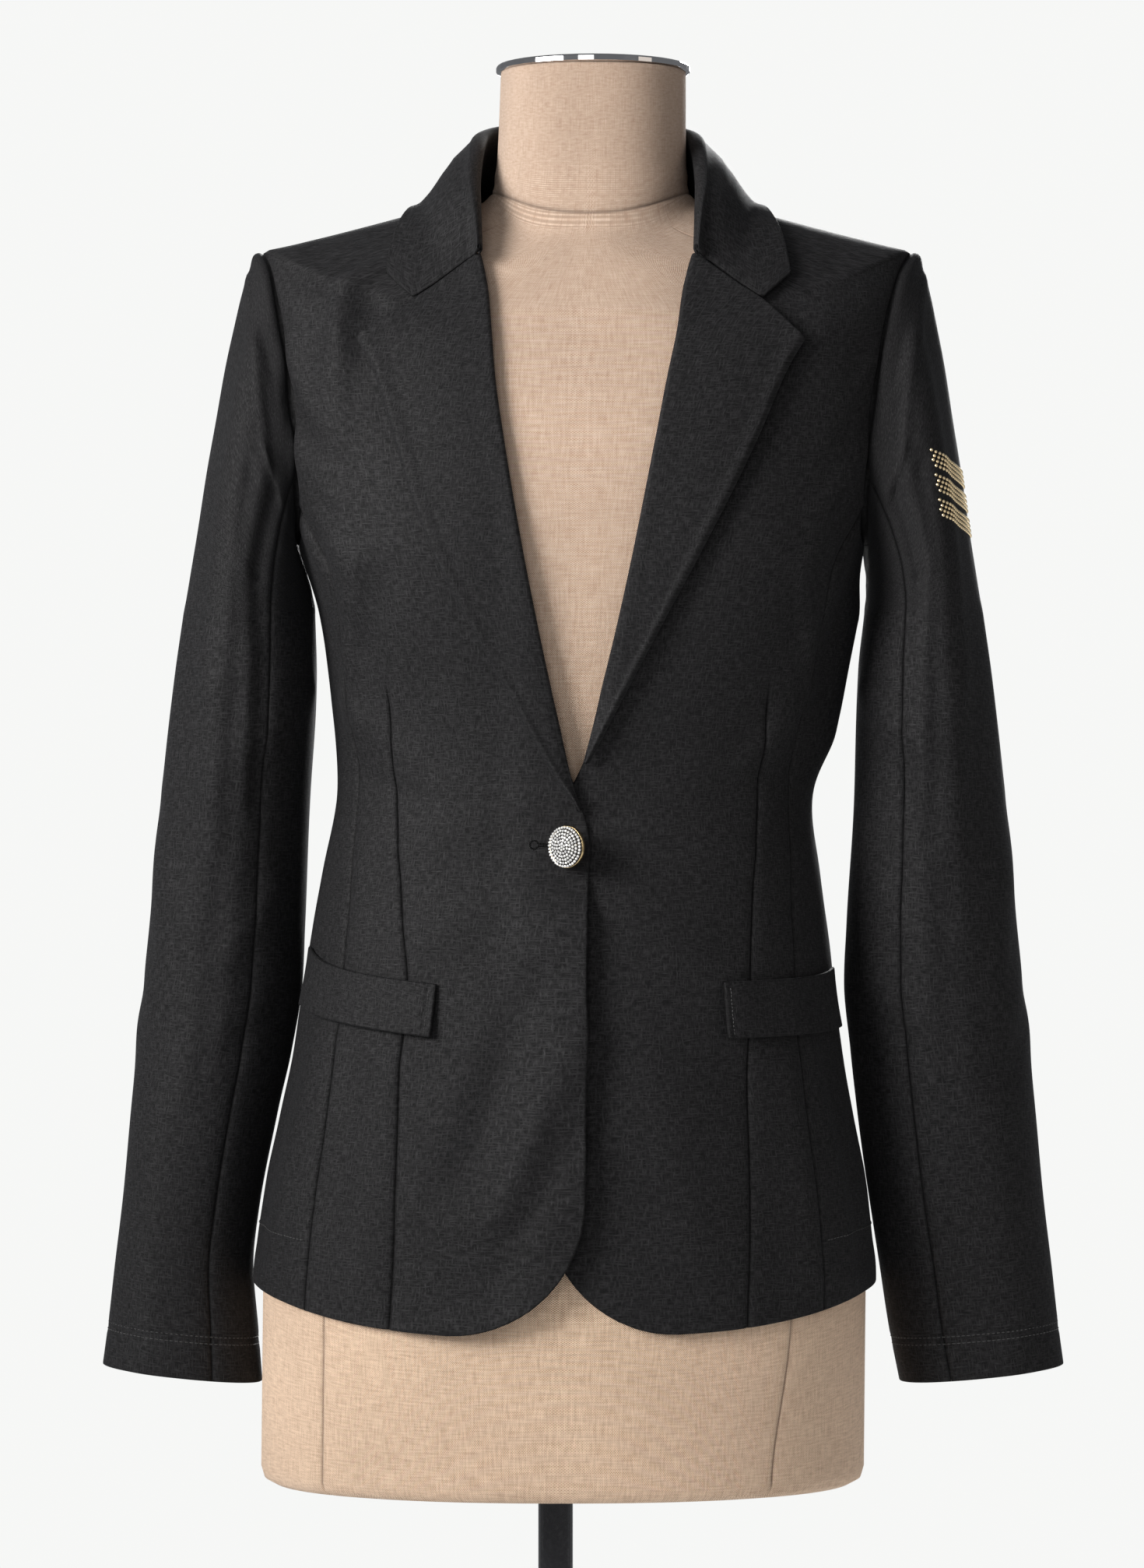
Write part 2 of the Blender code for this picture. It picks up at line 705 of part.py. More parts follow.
def lapel_grid(side):
    """Turn and level of a lapel's points, from the roll line to its outer edge."""
    outline = OVER_LAPEL if side < 0 else UNDER_LAPEL
    column = "over" if side < 0 else "under"
    levels = outline["height"]
    rows = 12
    way = np.linspace(0.0, 1.0, rows)
    edge_level = levels[0] + (levels[-1] - levels[0]) * way
    edge = read(outline, "edge", edge_level)
    roll_top = GORGE_START[1] - SEAM_GAP
    roll_level = edge_level + (roll_top - levels[-1]) * way**3
    roll = read(EDGES, column, roll_level) - side * 0.0010
    shares = np.array([0.0, 0.12, 0.3, NOTCH_SHARE, 0.8, 1.0])
    x = roll[:, None] + (edge - roll)[:, None] * shares[None, :]
    level = roll_level[:, None] + (edge_level - roll_level)[:, None] * shares[None, :]
    notch_x = COLLAR_MIDDLE_X + side * GORGE_NOTCH[0]
    notch_level = GORGE_NOTCH[1] - SEAM_GAP
    to_notch = np.clip(shares / NOTCH_SHARE, 0.0, 1.0)
    past_notch = np.clip((shares - NOTCH_SHARE) / (1.0 - NOTCH_SHARE), 0.0, 1.0)
    top_x = roll[-1] + (notch_x - roll[-1]) * to_notch + (edge[-1] - notch_x) * past_notch
    top_level = roll_top + (notch_level - roll_top) * to_notch
    top_level = top_level + (edge_level[-1] - notch_level) * past_notch
    pull = (way**4)[:, None]
    x = x + (top_x - x[-1])[None, :] * pull
    level = level + (top_level - level[-1])[None, :] * pull
    turn, level = place_at(x, level)
    return turn, level, shares


def make_lapel(name, side, finish):
    """Make a lapel, turned back from the roll line and lying on its front."""
    turn, level, shares = lapel_grid(side)
    base = torso(turn, level)
    normal = torso_normal(turn, level)
    lift = overlap_lift(base[..., 0]) if side < 0 else np.zeros(turn.shape)
    belly = LAPEL_BELLY * np.sin(math.pi * np.clip(shares, 0.0, 1.0)) ** 0.7
    top_lift = LAPEL_TOP_LIFT * np.linspace(0.0, 1.0, len(turn))[:, None] ** 2
    inner = base + normal * (lift + LAPEL_SEAT + belly[None, :] * 0.5 + top_lift)[..., None]
    return wall(name, inner + normal * CLOTH, inner, finish)


def surface_tree(surface):
    """Search tree of a surface round the shoulders and neck."""
    turns = np.radians(np.linspace(-180.0, 180.0, 97))
    levels = np.linspace(1.05, 1.26, 72)
    turn, level = np.meshgrid(turns, levels)
    points = surface(turn, level)
    rows, columns = turn.shape
    faces = []
    for row in range(rows - 1):
        for column in range(columns - 1):
            first = row * columns + column
            faces.append((first, first + 1, first + columns + 1, first + columns))
    return BVHTree.FromPolygons([tuple(point) for point in points.reshape(-1, 3)], faces)


def clear_of(tree, points, gap):
    """Move points out until they lie at least a gap off the surface."""
    moved = points.copy()
    for index in np.ndindex(points.shape[:-1]):
        place = Vector(points[index])
        near, normal, _, _ = tree.find_nearest(place)
        height = (place - near).dot(normal)
        if height < gap:
            moved[index] = tuple(near + normal * gap)
    return moved


def collar_half(side, stations):
    """Outer and inner points of one half of the collar, a row for each station."""
    outer_rows, inner_rows = [], []
    for station in stations:
        place = {name: float(read(COLLAR, name, station)) for name in COLLAR}
        fold = np.array([side * place["fold_x"] + COLLAR_MIDDLE_X, place["fold_y"], place["fold_z"]])
        edge = np.array([side * place["edge_x"] + COLLAR_MIDDLE_X, place["edge_y"], place["edge_z"]])
        seam = np.array([side * place["seam_x"] + COLLAR_MIDDLE_X, place["seam_y"], place["seam_z"]])
        away = unit(np.array([side * place["fold_x"], place["fold_y"], 0.0]))
        up = np.array([0.0, 0.0, 1.0])
        stand_top = fold - away * ROLL_RADIUS - up * 0.004
        leaf_top = fold + away * ROLL_RADIUS - up * 0.003
        seam_outer = seam - away * CLOTH
        middle = (seam_outer + stand_top) / 2.0
        outer = [seam_outer, middle, stand_top, fold, leaf_top]
        inner = [seam_outer + away * CLOTH, middle + away * CLOTH, stand_top + away * CLOTH]
        inner += [fold - up * CLOTH, leaf_top - away * CLOTH]
        for share in (0.3, NOTCH_SHARE, 0.8, 1.0):
            outer.append(leaf_top + (edge - leaf_top) * share)
            inner.append(outer[-1])
        outer_rows.append(outer)
        inner_rows.append(inner)
    return np.array(outer_rows), np.array(inner_rows)


def make_collar(name, finish):
    """Make the collar: a stand round the neck, folded over into a leaf with two tips."""
    tree = surface_tree(torso)
    form_tree = surface_tree(form_surface)
    stations = np.array(COLLAR_STATIONS)
    halves = []
    for side in (-1, 1):
        outer, inner = collar_half(side, stations)
        offset = inner[:, :3] - outer[:, :3]
        outer[:, :3] = clear_of(form_tree, outer[:, :3], STAND_CLEAR)
        inner[:, :3] = outer[:, :3] + offset
        leaf = outer[:, 4:]
        gorge_x = COLLAR_MIDDLE_X + side * np.array(
            [GORGE_START[0] + 0.0030, 0.0805, GORGE_NOTCH[0], 0.1080, COLLAR_TIP[0]]
        )
        gorge_level = np.array(
            [GORGE_START[1] - 0.0020, 0.0, GORGE_NOTCH[1], 0.0, COLLAR_TIP[1]]
        )
        gorge_level[1] = (GORGE_START[1] + GORGE_NOTCH[1]) / 2.0
        gorge_level[3] = (GORGE_NOTCH[1] + COLLAR_TIP[1]) / 2.0
        gorge_turn, gorge_level = place_at(gorge_x, gorge_level + LAY_GAP)
        lie = LAPEL_SEAT + LAPEL_TOP_LIFT + CLOTH + LAPEL_BELLY * 0.3
        gorge = torso(gorge_turn, gorge_level) + torso_normal(gorge_turn, gorge_level) * lie
        fade = np.clip(1.0 - stations / 0.25, 0.0, 1.0) ** 1.5
        leaf = leaf + (gorge - leaf[0])[None] * fade[:, None, None]
        leaf = clear_of(tree, leaf, lie)
        outer[:, 4:] = leaf
        across = np.gradient(leaf, axis=0)
        down = np.gradient(leaf, axis=1)
        normal = unit(np.cross(across, down)) * side
        below = leaf - normal * CLOTH
        inner[:, 5:] = clear_of(tree, below[:, 1:], LAPEL_SEAT + LAPEL_TOP_LIFT)
        halves.append((outer, inner))
    left_outer, left_inner = halves[0]
    right_outer, right_inner = halves[1]
    outer = np.concatenate([left_outer, right_outer[-2::-1]])
    inner = np.concatenate([left_inner, right_inner[-2::-1]])
    return wall(name, outer, inner, finish)


def make_pocket(name, row, finish):
    """Make a pocket flap that lies across the front and its side seam."""
    values = {column: POCKETS[column][row] for column in POCKETS}
    across = np.linspace(0.0, 1.0, 9)[None, :]
    up = np.array([0.0, 0.5, 1.0])[:, None]
    turn = np.radians(values["start_turn"] + (values["end_turn"] - values["start_turn"]) * across)
    low = values["start_low"] + (values["end_low"] - values["start_low"]) * across
    high = values["start_high"] + (values["end_high"] - values["start_high"]) * across
    level = low + (high - low) * up
    turn = np.broadcast_to(turn, level.shape) * values["side"]
    stand = LAY_GAP + FLAP_STAND * (1.0 - up) * np.ones_like(across)
    base = torso(turn, level)
    normal = torso_normal(turn, level)
    inner = base + normal * stand[..., None]
    return wall(name, inner + normal * FLAP_WALL, inner, finish)


def make_button(name, finish):
    """Make the button: a cup and dome on a shank, turned towards the wearer's right."""
    place = turn_at(BUTTON_X, BUTTON_HEIGHT)
    seat = torso(place, BUTTON_HEIGHT)
    front = seat[1] - OVERLAP_LIFT - BUTTON_STAND_OFF
    corner = SHANK_RADIUS * math.sin(BUTTON_TURN)
    reach = (BUTTON_STAND_OFF - LAY_GAP - corner) / math.cos(BUTTON_TURN)
    shank = reach - CUP_DEPTH
    profile = [(SHANK_RADIUS, -CUP_DEPTH - shank), (SHANK_RADIUS, -CUP_DEPTH)]
    profile += [(BUTTON_RADIUS * 0.86, -CUP_DEPTH * 0.6), (BUTTON_RADIUS, 0.0)]
    profile += [(BUTTON_RADIUS, BUTTON_RIM * 0.6), (BUTTON_RADIUS * 0.93, BUTTON_RIM)]
    for share in (0.72, 0.4):
        height = BUTTON_RIM + BUTTON_DOME * math.sqrt(1.0 - share**2)
        profile.append((BUTTON_RADIUS * 0.93 * share, height))
    made = turned(name, profile, finish, 24)
    made.rotation_euler = (math.pi / 2.0, 0.0, -BUTTON_TURN)
    made.location = (BUTTON_X, front, BUTTON_HEIGHT)
    return made


def form_surface(turns, level):
    """Point of the dress form under the cloth."""
    base = torso(turns, level, False)
    return base - torso_normal(turns, level, False) * read(EASE, "room", level)[..., None]


def make_form(name, finish):
    """Make the dress form: hips, waist, chest, shoulders and neck in one smooth solid."""
    turns = np.radians(np.linspace(0.0, 360.0, 40, endpoint=False))
    wrapped = (turns + math.pi) % (2.0 * math.pi) - math.pi
    levels = [0.461, 0.50, 0.55, 0.60, 0.65, 0.70, 0.75, 0.80, 0.852, 0.89, 0.92, 0.95, 0.98]
    levels += [1.01, 1.04, 1.07, 1.092, 1.107, SHOULDER_TIP_LEVEL, *SHOULDER_LEVELS]
    levels += [1.172, 1.182, 1.195, 1.22, NECK_TOP_LEVEL]
    rings = [form_surface(wrapped, np.full(len(turns), level)) for level in levels]
    foot = rings[0]
    middle = foot.mean(axis=0)
    for share, height in ((0.984, 0.0028), (0.945, 0.0)):
        ring = middle + (foot - middle) * share
        ring[:, 2] = FORM_BOTTOM + height
        rings.insert(0, ring)
    return loft(name, rings, finish)


def build():
    clear_scene()
    suiting = material("suiting", (0.018, 0.018, 0.020), 0.85)
    gilt = material("gilt", (0.80, 0.62, 0.32), 0.25, 1.0)
    linen = material("linen", (0.66, 0.47, 0.33), 0.9)
    chrome = material("chrome", (0.55, 0.55, 0.56), 0.12, 1.0)
    black = material("black_lacquer", (0.012, 0.012, 0.014), 0.2)

    for side, wearer in ((-1, "right"), (1, "left")):
        make_front("front_" + wearer, side, suiting)
        make_side("side_" + wearer, side, suiting)
        make_back("back_" + wearer, side, suiting)
        top_turns = [-turn for turn in reversed(ARMHOLE_TURNS[1:-1])] + list(ARMHOLE_TURNS[:-1])
        under_turns = [SLEEVE_SEAM_TURN] + list(UNDERARM_TURNS) + [360.0 - SLEEVE_SEAM_TURN]
        make_sleeve_half("top_sleeve_" + wearer, side, top_turns, suiting)
        make_sleeve_half("under_sleeve_" + wearer, side, under_turns, suiting)
        make_lapel("lapel_" + wearer, side, suiting)
    make_collar("collar", suiting)
    make_pocket("pocket_flap_right", 0, suiting)
    make_pocket("pocket_flap_left", 1, suiting)
    make_button("button", gilt)

    make_form("dress_form", linen)
    cap = [(NECK_CAP_RADIUS * 0.97, 0.0), (NECK_CAP_RADIUS, 0.0008)]
    cap += [(NECK_CAP_RADIUS, NECK_CAP_HEIGHT - 0.0010)]
    cap += [(NECK_CAP_RADIUS * 0.985, NECK_CAP_HEIGHT), (NECK_CAP_RADIUS * 0.5, NECK_CAP_HEIGHT)]
    neck_x = float(read(LEAN, "shift", NECK_TOP_LEVEL))
    turned("neck_cap", cap, chrome, 40, (neck_x, 0.0, NECK_TOP_LEVEL + SEAM_GAP))
    pole = [(POLE_RADIUS, BASE_HEIGHT + SEAM_GAP), (POLE_RADIUS, FORM_BOTTOM - SEAM_GAP)]
    turned("pole", pole, black, 24)
    base = [(BASE_RADIUS, 0.0), (BASE_RADIUS, 0.006), (BASE_RADIUS * 0.97, 0.0095)]
    base += [(BASE_RADIUS * 0.25, BASE_HEIGHT), (BASE_RADIUS * 0.12, BASE_HEIGHT)]
    turned("base", base, black, 48)


build()
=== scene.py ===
"""Looks of the one-button blazer on its linen dress form.

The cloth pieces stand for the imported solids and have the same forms, made from
the same tables on a finer grid, with their seams, folds, edges and stitches.
"""

import math

import bmesh
import bpy
import numpy as np
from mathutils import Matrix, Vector
from mathutils.bvhtree import BVHTree


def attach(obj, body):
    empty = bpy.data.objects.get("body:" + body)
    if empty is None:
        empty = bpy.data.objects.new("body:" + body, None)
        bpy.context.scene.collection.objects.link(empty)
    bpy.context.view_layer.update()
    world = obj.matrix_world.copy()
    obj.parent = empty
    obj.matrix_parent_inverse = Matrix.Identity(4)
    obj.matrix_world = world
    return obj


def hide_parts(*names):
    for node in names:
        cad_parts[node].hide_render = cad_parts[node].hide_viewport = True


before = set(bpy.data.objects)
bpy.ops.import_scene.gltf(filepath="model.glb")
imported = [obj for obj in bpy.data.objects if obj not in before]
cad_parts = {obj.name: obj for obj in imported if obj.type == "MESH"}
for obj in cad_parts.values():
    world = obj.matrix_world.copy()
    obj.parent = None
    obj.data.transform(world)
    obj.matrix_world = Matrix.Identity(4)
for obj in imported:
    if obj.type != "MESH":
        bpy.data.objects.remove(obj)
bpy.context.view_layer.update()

# Cloth
CLOTH = 0.0020
SEAM_GAP = 0.0003
LAY_GAP = 0.0004
LOOP_POWER = 2.3
RISE_POWER = 3.0

# Heights
HEM_LEVEL = 0.545
ARMHOLE_BOTTOM = 0.990
SHOULDER_TIP_LEVEL = 1.120
BUTTON_HEIGHT = 0.817

# The wearer's own sides by the sign of X, and what changes with them
WEARER = {-1: "right", 1: "left"}
EDGE_COLUMN = {-1: "over", 1: "under"}

# Armhole, as turns forward and back from the side
ARMHOLE_FORWARD = math.radians(26.0)
ARMHOLE_BACKWARD = math.radians(24.0)
ARMHOLE_POWER = 2.4
ARMHOLE_CLEAR = 0.994
ARMHOLE_MIDDLE = (ARMHOLE_BOTTOM + SHOULDER_TIP_LEVEL) / 2.0
ARMHOLE_HALF = (SHOULDER_TIP_LEVEL - ARMHOLE_BOTTOM) / 2.0
SIDE_PANEL_TURN = 130.0

# Rounding of the corner between the chest or back and the top of the shoulder
RIDGE_DEPTH = 0.0050
RIDGE_LEVEL = 1.1215
RIDGE_REACH = 0.0130

# Metres of a surface to a radian of turn or to a whole run, for folds and weaves
FOLD_TURN_REACH = 0.13
SLEEVE_TURN_REACH = 0.045
SLEEVE_RUN_REACH = 0.36

# Sleeve
SLEEVE_MIDDLE_X = 0.016
BICEP_HEIGHT = 0.950
CUFF_HEIGHT = 0.510
CUFF_TILT = 0.005
SLEEVE_SEAM_TURN = 115.0
HEAD_REACH = 0.040

# Front edge
HEM_CORNER = 0.075
OVERLAP_LIFT = 0.0026
OVERLAP_START = -0.035
OVERLAP_FULL = -0.012

# Collar and lapels
COLLAR_MIDDLE_X = 0.0185
NOTCH_SHARE = 0.6
ROLL_RADIUS = 0.0026
LAPEL_BELLY = 0.0030
LAPEL_SEAT = 0.0010
LAPEL_TOP_LIFT = 0.0010
STAND_CLEAR = 0.0010

# Pocket flaps, with the line of stitches near their front end
FLAP_WALL = 0.0026
FLAP_STAND = 0.0016
FLAP_LENGTH = 0.14
FLAP_STITCHES = 0.0045

# Button
BUTTON_RADIUS = 0.01225
BUTTON_RIM = 0.0032
BUTTON_DOME = 0.0042
BUTTON_STAND_OFF = 0.0098
BUTTON_X = 0.0076
BUTTON_TURN = math.radians(30.0)
SHANK_RADIUS = 0.0028
CUP_DEPTH = 0.0016

# Dress form: its ends, its seams as turns in degrees, and the one that leans at
# the foot, with the most it leans; radii for seams and for the linen's weave
FORM_BOTTOM = 0.450
NECK_TOP_LEVEL = 1.262
FORM_SEAMS = (-48.0, 44.0, -90.0, 90.0, 180.0, -132.0, 132.0)
LEANING_SEAM = 44.0
SEAM_LEAN = math.radians(-5.0)
FORM_SEAM_RADIUS = 0.15
FORM_WEAVE_RADIUS = 0.16
FORM_SEAM_DEPTH = 0.0009
FORM_SEAM_WIDTH = 0.0008
NECK_SEAM_DEPTH = 0.0011
NECK_SEAM_LEVEL = 1.1762
NECK_SEAM_RISE = 0.0165


def table(columns, rows):
    """Read a table's text as a dictionary of columns; the first column is the key."""
    values = np.array([row.split() for row in rows.strip().splitlines()], dtype=float)
    return dict(zip(columns.split(), values.T))


# Loops of the cloth's outer surface. half is half the width, front and back the
# depths from the side line, and the rises lift the loop at the side and back.
TORSO = table(
    "level side_rise half front back back_rise",
    """
    0.4500 0.0000 0.1800 0.1180 0.1180 0.0000
    0.5450 0.0210 0.1800 0.1175 0.1210 0.0120
    0.5800 0.0120 0.1775 0.1175 0.1200 0.0070
    0.6200 0.0050 0.1730 0.1165 0.1185 0.0030
    0.6600 0.0010 0.1655 0.1145 0.1150 0.0000
    0.7000 0.0000 0.1580 0.1115 0.1090 0.0000
    0.7600 0.0000 0.1500 0.1050 0.0970 0.0000
    0.8000 0.0000 0.1440 0.0995 0.0890 0.0000
    0.8520 0.0000 0.1365 0.0945 0.0840 0.0000
    0.9000 0.0000 0.1420 0.1000 0.0880 0.0000
    0.9500 0.0000 0.1500 0.1080 0.0950 0.0000
    0.9900 0.0000 0.1630 0.1110 0.1000 0.0000
    1.0200 0.0020 0.1720 0.1095 0.1030 0.0000
    1.0500 0.0120 0.1790 0.1050 0.1040 0.0020
    1.0800 0.0260 0.1845 0.0975 0.1030 0.0030
    1.1000 0.0360 0.1865 0.0910 0.1005 0.0040
    1.1200 0.0380 0.1870 0.0835 0.0970 0.0050
    1.1275 0.0355 0.1700 0.0800 0.0930 0.0095
    1.1350 0.0335 0.1480 0.0768 0.0885 0.0140
    1.1500 0.0300 0.1050 0.0725 0.0785 0.0230
    1.1650 0.0270 0.0640 0.0680 0.0650 0.0320
    1.1850 0.0150 0.0570 0.0600 0.0585 0.0180
    1.2050 0.0060 0.0548 0.0560 0.0555 0.0070
    1.2620 0.0000 0.0535 0.0540 0.0540 0.0000
    """,
)

# The whole figure leans a little to +X as it rises.
LEAN = table(
    "height shift",
    """
    0.000 0.0000
    0.450 0.0040
    0.550 0.0050
    0.700 0.0070
    0.852 0.0105
    0.940 0.0140
    1.120 0.0160
    1.200 0.0205
    1.300 0.0225
    """,
)

# Room from the cloth's outer surface in to the dress form.
EASE = table(
    "level room",
    """
    0.450 0.0060
    0.545 0.0060
    0.700 0.0072
    0.852 0.0062
    0.980 0.0042
    1.050 0.0038
    1.120 0.0038
    1.165 0.0046
    1.195 0.0000
    1.262 0.0000
    """,
)

# Turns of the long seams from the front, in degrees, up to the armhole.
SEAMS = table(
    "level front_seam back_seam",
    """
    0.545 52.5 124.0
    0.620 52.5 123.0
    0.700 54.0 121.0
    0.776 57.0 119.0
    0.860 63.0 117.0
    0.920 61.5 116.0
    0.970 58.5 114.0
    0.995 64.0 111.0
    1.010 69.2 109.2
    """,
)

# Front edges below the button and roll lines above it, as X.
EDGES = table(
    "level over under",
    """
    0.545  0.0165 -0.0060
    0.700  0.0170 -0.0060
    0.760  0.0178 -0.0060
    0.802  0.0190 -0.0060
    0.816  0.0200 -0.0050
    0.826  0.0186 -0.0030
    0.840  0.0147  0.0030
    0.855  0.0099  0.0110
    0.874  0.0047  0.0172
    0.898 -0.0010  0.0246
    1.045 -0.0290  0.0566
    1.078 -0.0338  0.0630
    1.106 -0.0362  0.0690
    1.136 -0.0395  0.0740
    1.150 -0.0425  0.0775
    1.163 -0.0465  0.0855
    """,
)

# Outer edges of the lapels, as X against height.
OVER_LAPEL = table(
    "height edge",
    """
    0.8360  0.0130
    0.8520  0.0013
    0.8730 -0.0104
    0.8980 -0.0238
    0.9760 -0.0630
    1.0300 -0.0840
    1.0530 -0.0915
    1.0830 -0.1015
    1.1026 -0.1105
    """,
)
UNDER_LAPEL = table(
    "height edge",
    """
    0.864 0.0195
    0.898 0.0370
    0.976 0.0768
    1.045 0.1120
    1.087 0.1310
    1.101 0.1390
    """,
)

# The gorge, where a lapel meets the collar, as X from the collar's middle and height.
GORGE_START = (0.0610, 1.1500)
GORGE_NOTCH = (0.1000, 1.1240)
COLLAR_TIP = (0.1160, 1.1390)

# Collar stations from the gorge to the middle of the back. Each has its fold,
# the leaf's outer edge and the seam on the neckline, from the collar's middle.
COLLAR = table(
    "station fold_x fold_y fold_z edge_x edge_y edge_z seam_x seam_y seam_z",
    """
    0.00 0.0610 -0.0760 1.156 0.1160 -0.0600 1.139 0.062 -0.075 1.150
    0.12 0.0620 -0.0640 1.179 0.1110 -0.0430 1.154 0.064 -0.061 1.167
    0.25 0.0630 -0.0460 1.198 0.1035 -0.0220 1.174 0.065 -0.042 1.182
    0.40 0.0620 -0.0200 1.217 0.0990  0.0030 1.185 0.067 -0.015 1.193
    0.55 0.0600  0.0080 1.229 0.0925  0.0330 1.183 0.066  0.012 1.196
    0.70 0.0490  0.0360 1.237 0.0740  0.0620 1.176 0.054  0.040 1.198
    0.85 0.0265  0.0545 1.241 0.0400  0.0815 1.168 0.030  0.059 1.199
    1.00 0.0000  0.0605 1.243 0.0000  0.0880 1.164 0.000  0.065 1.200
    """,
)

# Sleeve outline below the cap, from the sleeves' middle line in X.
SLEEVE = table(
    "drop outer right_inner left_inner middle_y half_depth",
    """
    0.000 0.2300 0.1550 0.1625 -0.002 0.0590
    0.032 0.2350 0.1540 0.1590 -0.002 0.0580
    0.104 0.2434 0.1580 0.1570  0.004 0.0540
    0.176 0.2510 0.1613 0.1530  0.010 0.0500
    0.212 0.2550 0.1630 0.1515  0.012 0.0480
    0.250 0.2587 0.1690 0.1550  0.013 0.0465
    0.284 0.2620 0.1770 0.1590  0.014 0.0450
    0.340 0.2675 0.1880 0.1668  0.017 0.0420
    0.374 0.2715 0.1920 0.1725  0.020 0.0400
    0.410 0.2755 0.1890 0.1780  0.020 0.0375
    0.440 0.2795 0.1865 0.1840  0.019 0.0350
    """,
)

# Largest folds of the body: a soft ridge along a line from a to b, in degrees
# of turn and metres of level, with its width and height.
BODY_FOLDS = table(
    "turn_a level_a turn_b level_b width height",
    """
     -50.0 0.985  -60.0 0.890 0.016 0.0030
      -3.0 0.715  -16.0 0.610 0.014 0.0030
      -4.0 0.650  -12.0 0.590 0.010 0.0018
     -34.0 1.125  -46.0 1.070 0.014 0.0018
      60.0 0.960   52.0 0.880 0.018 0.0030
      36.0 1.120   47.0 1.075 0.014 0.0015
      84.0 0.945   84.0 0.882 0.026 0.0112
     150.0 0.880  118.0 0.840 0.012 0.0022
    -148.0 0.900 -116.0 0.852 0.012 0.0024
     158.0 0.800  124.0 0.822 0.012 0.0020
    -160.0 0.812 -126.0 0.828 0.011 0.0018
    """,
)

# Bust mounds of the cut.
BUST_TURN = 42.0
BUST_LEVEL = 0.972
BUST_HEIGHT = 0.0100
BUST_TURN_WIDTH = 27.0
BUST_RISE_WIDTH = 0.058

# Sleeve folds along and across: turn and drop of both ends, width, height.
SLEEVE_FOLDS = table(
    "turn_a run_a turn_b run_b width height",
    """
      62.0 0.25  84.0 1.30 0.010 0.0028
     -50.0 1.20  60.0 1.42 0.014 0.0016
     150.0 1.05  80.0 1.22 0.012 0.0022
     -60.0 1.62  40.0 1.50 0.013 0.0014
    -110.0 1.05 -40.0 1.24 0.013 0.0020
    """,
)

POCKETS = table(
    "side start_turn end_turn start_low start_high end_low end_high",
    """
    -1.0 25.5 77.0 0.710 0.740 0.7235 0.7525
     1.0 31.0 79.0 0.709 0.741 0.7115 0.7435
    """,
)


def monotone(keys, values, at):
    """Read a smooth curve through the table's points that never overshoots them."""
    steps = np.diff(keys)
    rates = np.diff(values) / steps
    slopes = np.zeros(len(keys))
    slopes[0] = rates[0]
    slopes[-1] = rates[-1]
    for index in range(1, len(keys) - 1):
        before, after = rates[index - 1], rates[index]
        if before * after > 0.0:
            weight_before = 2.0 * steps[index] + steps[index - 1]
            weight_after = steps[index] + 2.0 * steps[index - 1]
            slopes[index] = (weight_before + weight_after) / (
                weight_before / before + weight_after / after
            )
    at = np.clip(at, keys[0], keys[-1])
    place = np.clip(np.searchsorted(keys, at) - 1, 0, len(keys) - 2)
    step = steps[place]
    share = (at - keys[place]) / step
    square, cube = share**2, share**3
    return (
        (2 * cube - 3 * square + 1) * values[place]
        + (cube - 2 * square + share) * step * slopes[place]
        + (3 * square - 2 * cube) * values[place + 1]
        + (cube - square) * step * slopes[place + 1]
    )


def read(source, column, at):
    """Read one column of a table at a value of its first column."""
    keys = next(iter(source.values()))
    return monotone(keys, source[column], at)


def signed_power(value, power):
    """Power of a value that keeps its sign."""
    return np.sign(value) * np.abs(value) ** power


def smooth_step(value):
    """Smooth rise from 0 to 1 over the values from 0 to 1."""
    value = np.clip(value, 0.0, 1.0)
    return value * value * (3.0 - 2.0 * value)


def unit(vectors):
    """Vectors of the same directions, 1 long."""
    return vectors / np.linalg.norm(vectors, axis=-1, keepdims=True)


def wrapped(angle):
    """Bring an angle into the half turn on either side of zero."""
    return (angle + math.pi) % (2.0 * math.pi) - math.pi


def lengths(points):
    """Length along a line up to each of its points."""
    steps = np.linalg.norm(np.diff(points, axis=0), axis=-1)
    return np.concatenate([[0.0], np.cumsum(steps)])


def grid_faces(index):
    """Faces of a grid of point numbers."""
    corners = index[:-1, :-1], index[:-1, 1:], index[1:, 1:], index[1:, :-1]
    return np.stack([corner.ravel() for corner in corners], axis=1)


def ring_faces(rows, columns):
    """Faces between closed rings of points, each of as many columns."""
    index = np.arange(rows * columns).reshape(rows, columns)
    return grid_faces(np.concatenate([index, index[:, :1]], axis=1))


def line_relief(u, v, start, end, width, height):
    """Height of a soft ridge along a line, fading out at both ends."""
    run = np.array(end) - np.array(start)
    length = np.hypot(*run)
    along = ((u - start[0]) * run[0] + (v - start[1]) * run[1]) / length**2
    near = np.clip(along, 0.0, 1.0)
    gap = np.hypot(u - start[0] - near * run[0], v - start[1] - near * run[1])
    return height * np.exp(-((gap / width) ** 2))


def folds_relief(folds, turn, run, turn_reach, run_reach):
    """Sum of a table of folds, measured in metres on the surface."""
    columns = list(folds.values())
    total = np.zeros(np.broadcast(turn, run).shape)
    for turn_a, run_a, turn_b, run_b, width, height in zip(*columns):
        start = (math.radians(turn_a) * turn_reach, run_a * run_reach)
        end = (math.radians(turn_b) * turn_reach, run_b * run_reach)
        total = total + line_relief(turn * turn_reach, run * run_reach, start, end, width, height)
    return total


def ridge(turn, level):
    """Share of the shoulder's corner that is rounded off, from 0 to 1."""
    away = np.abs(np.degrees(np.abs(turn)) - 90.0)
    band = smooth_step((away - 3.0) / 26.0) * smooth_step((86.0 - away) / 26.0)
    return band * np.exp(-(((level - RIDGE_LEVEL) / RIDGE_REACH) ** 2))


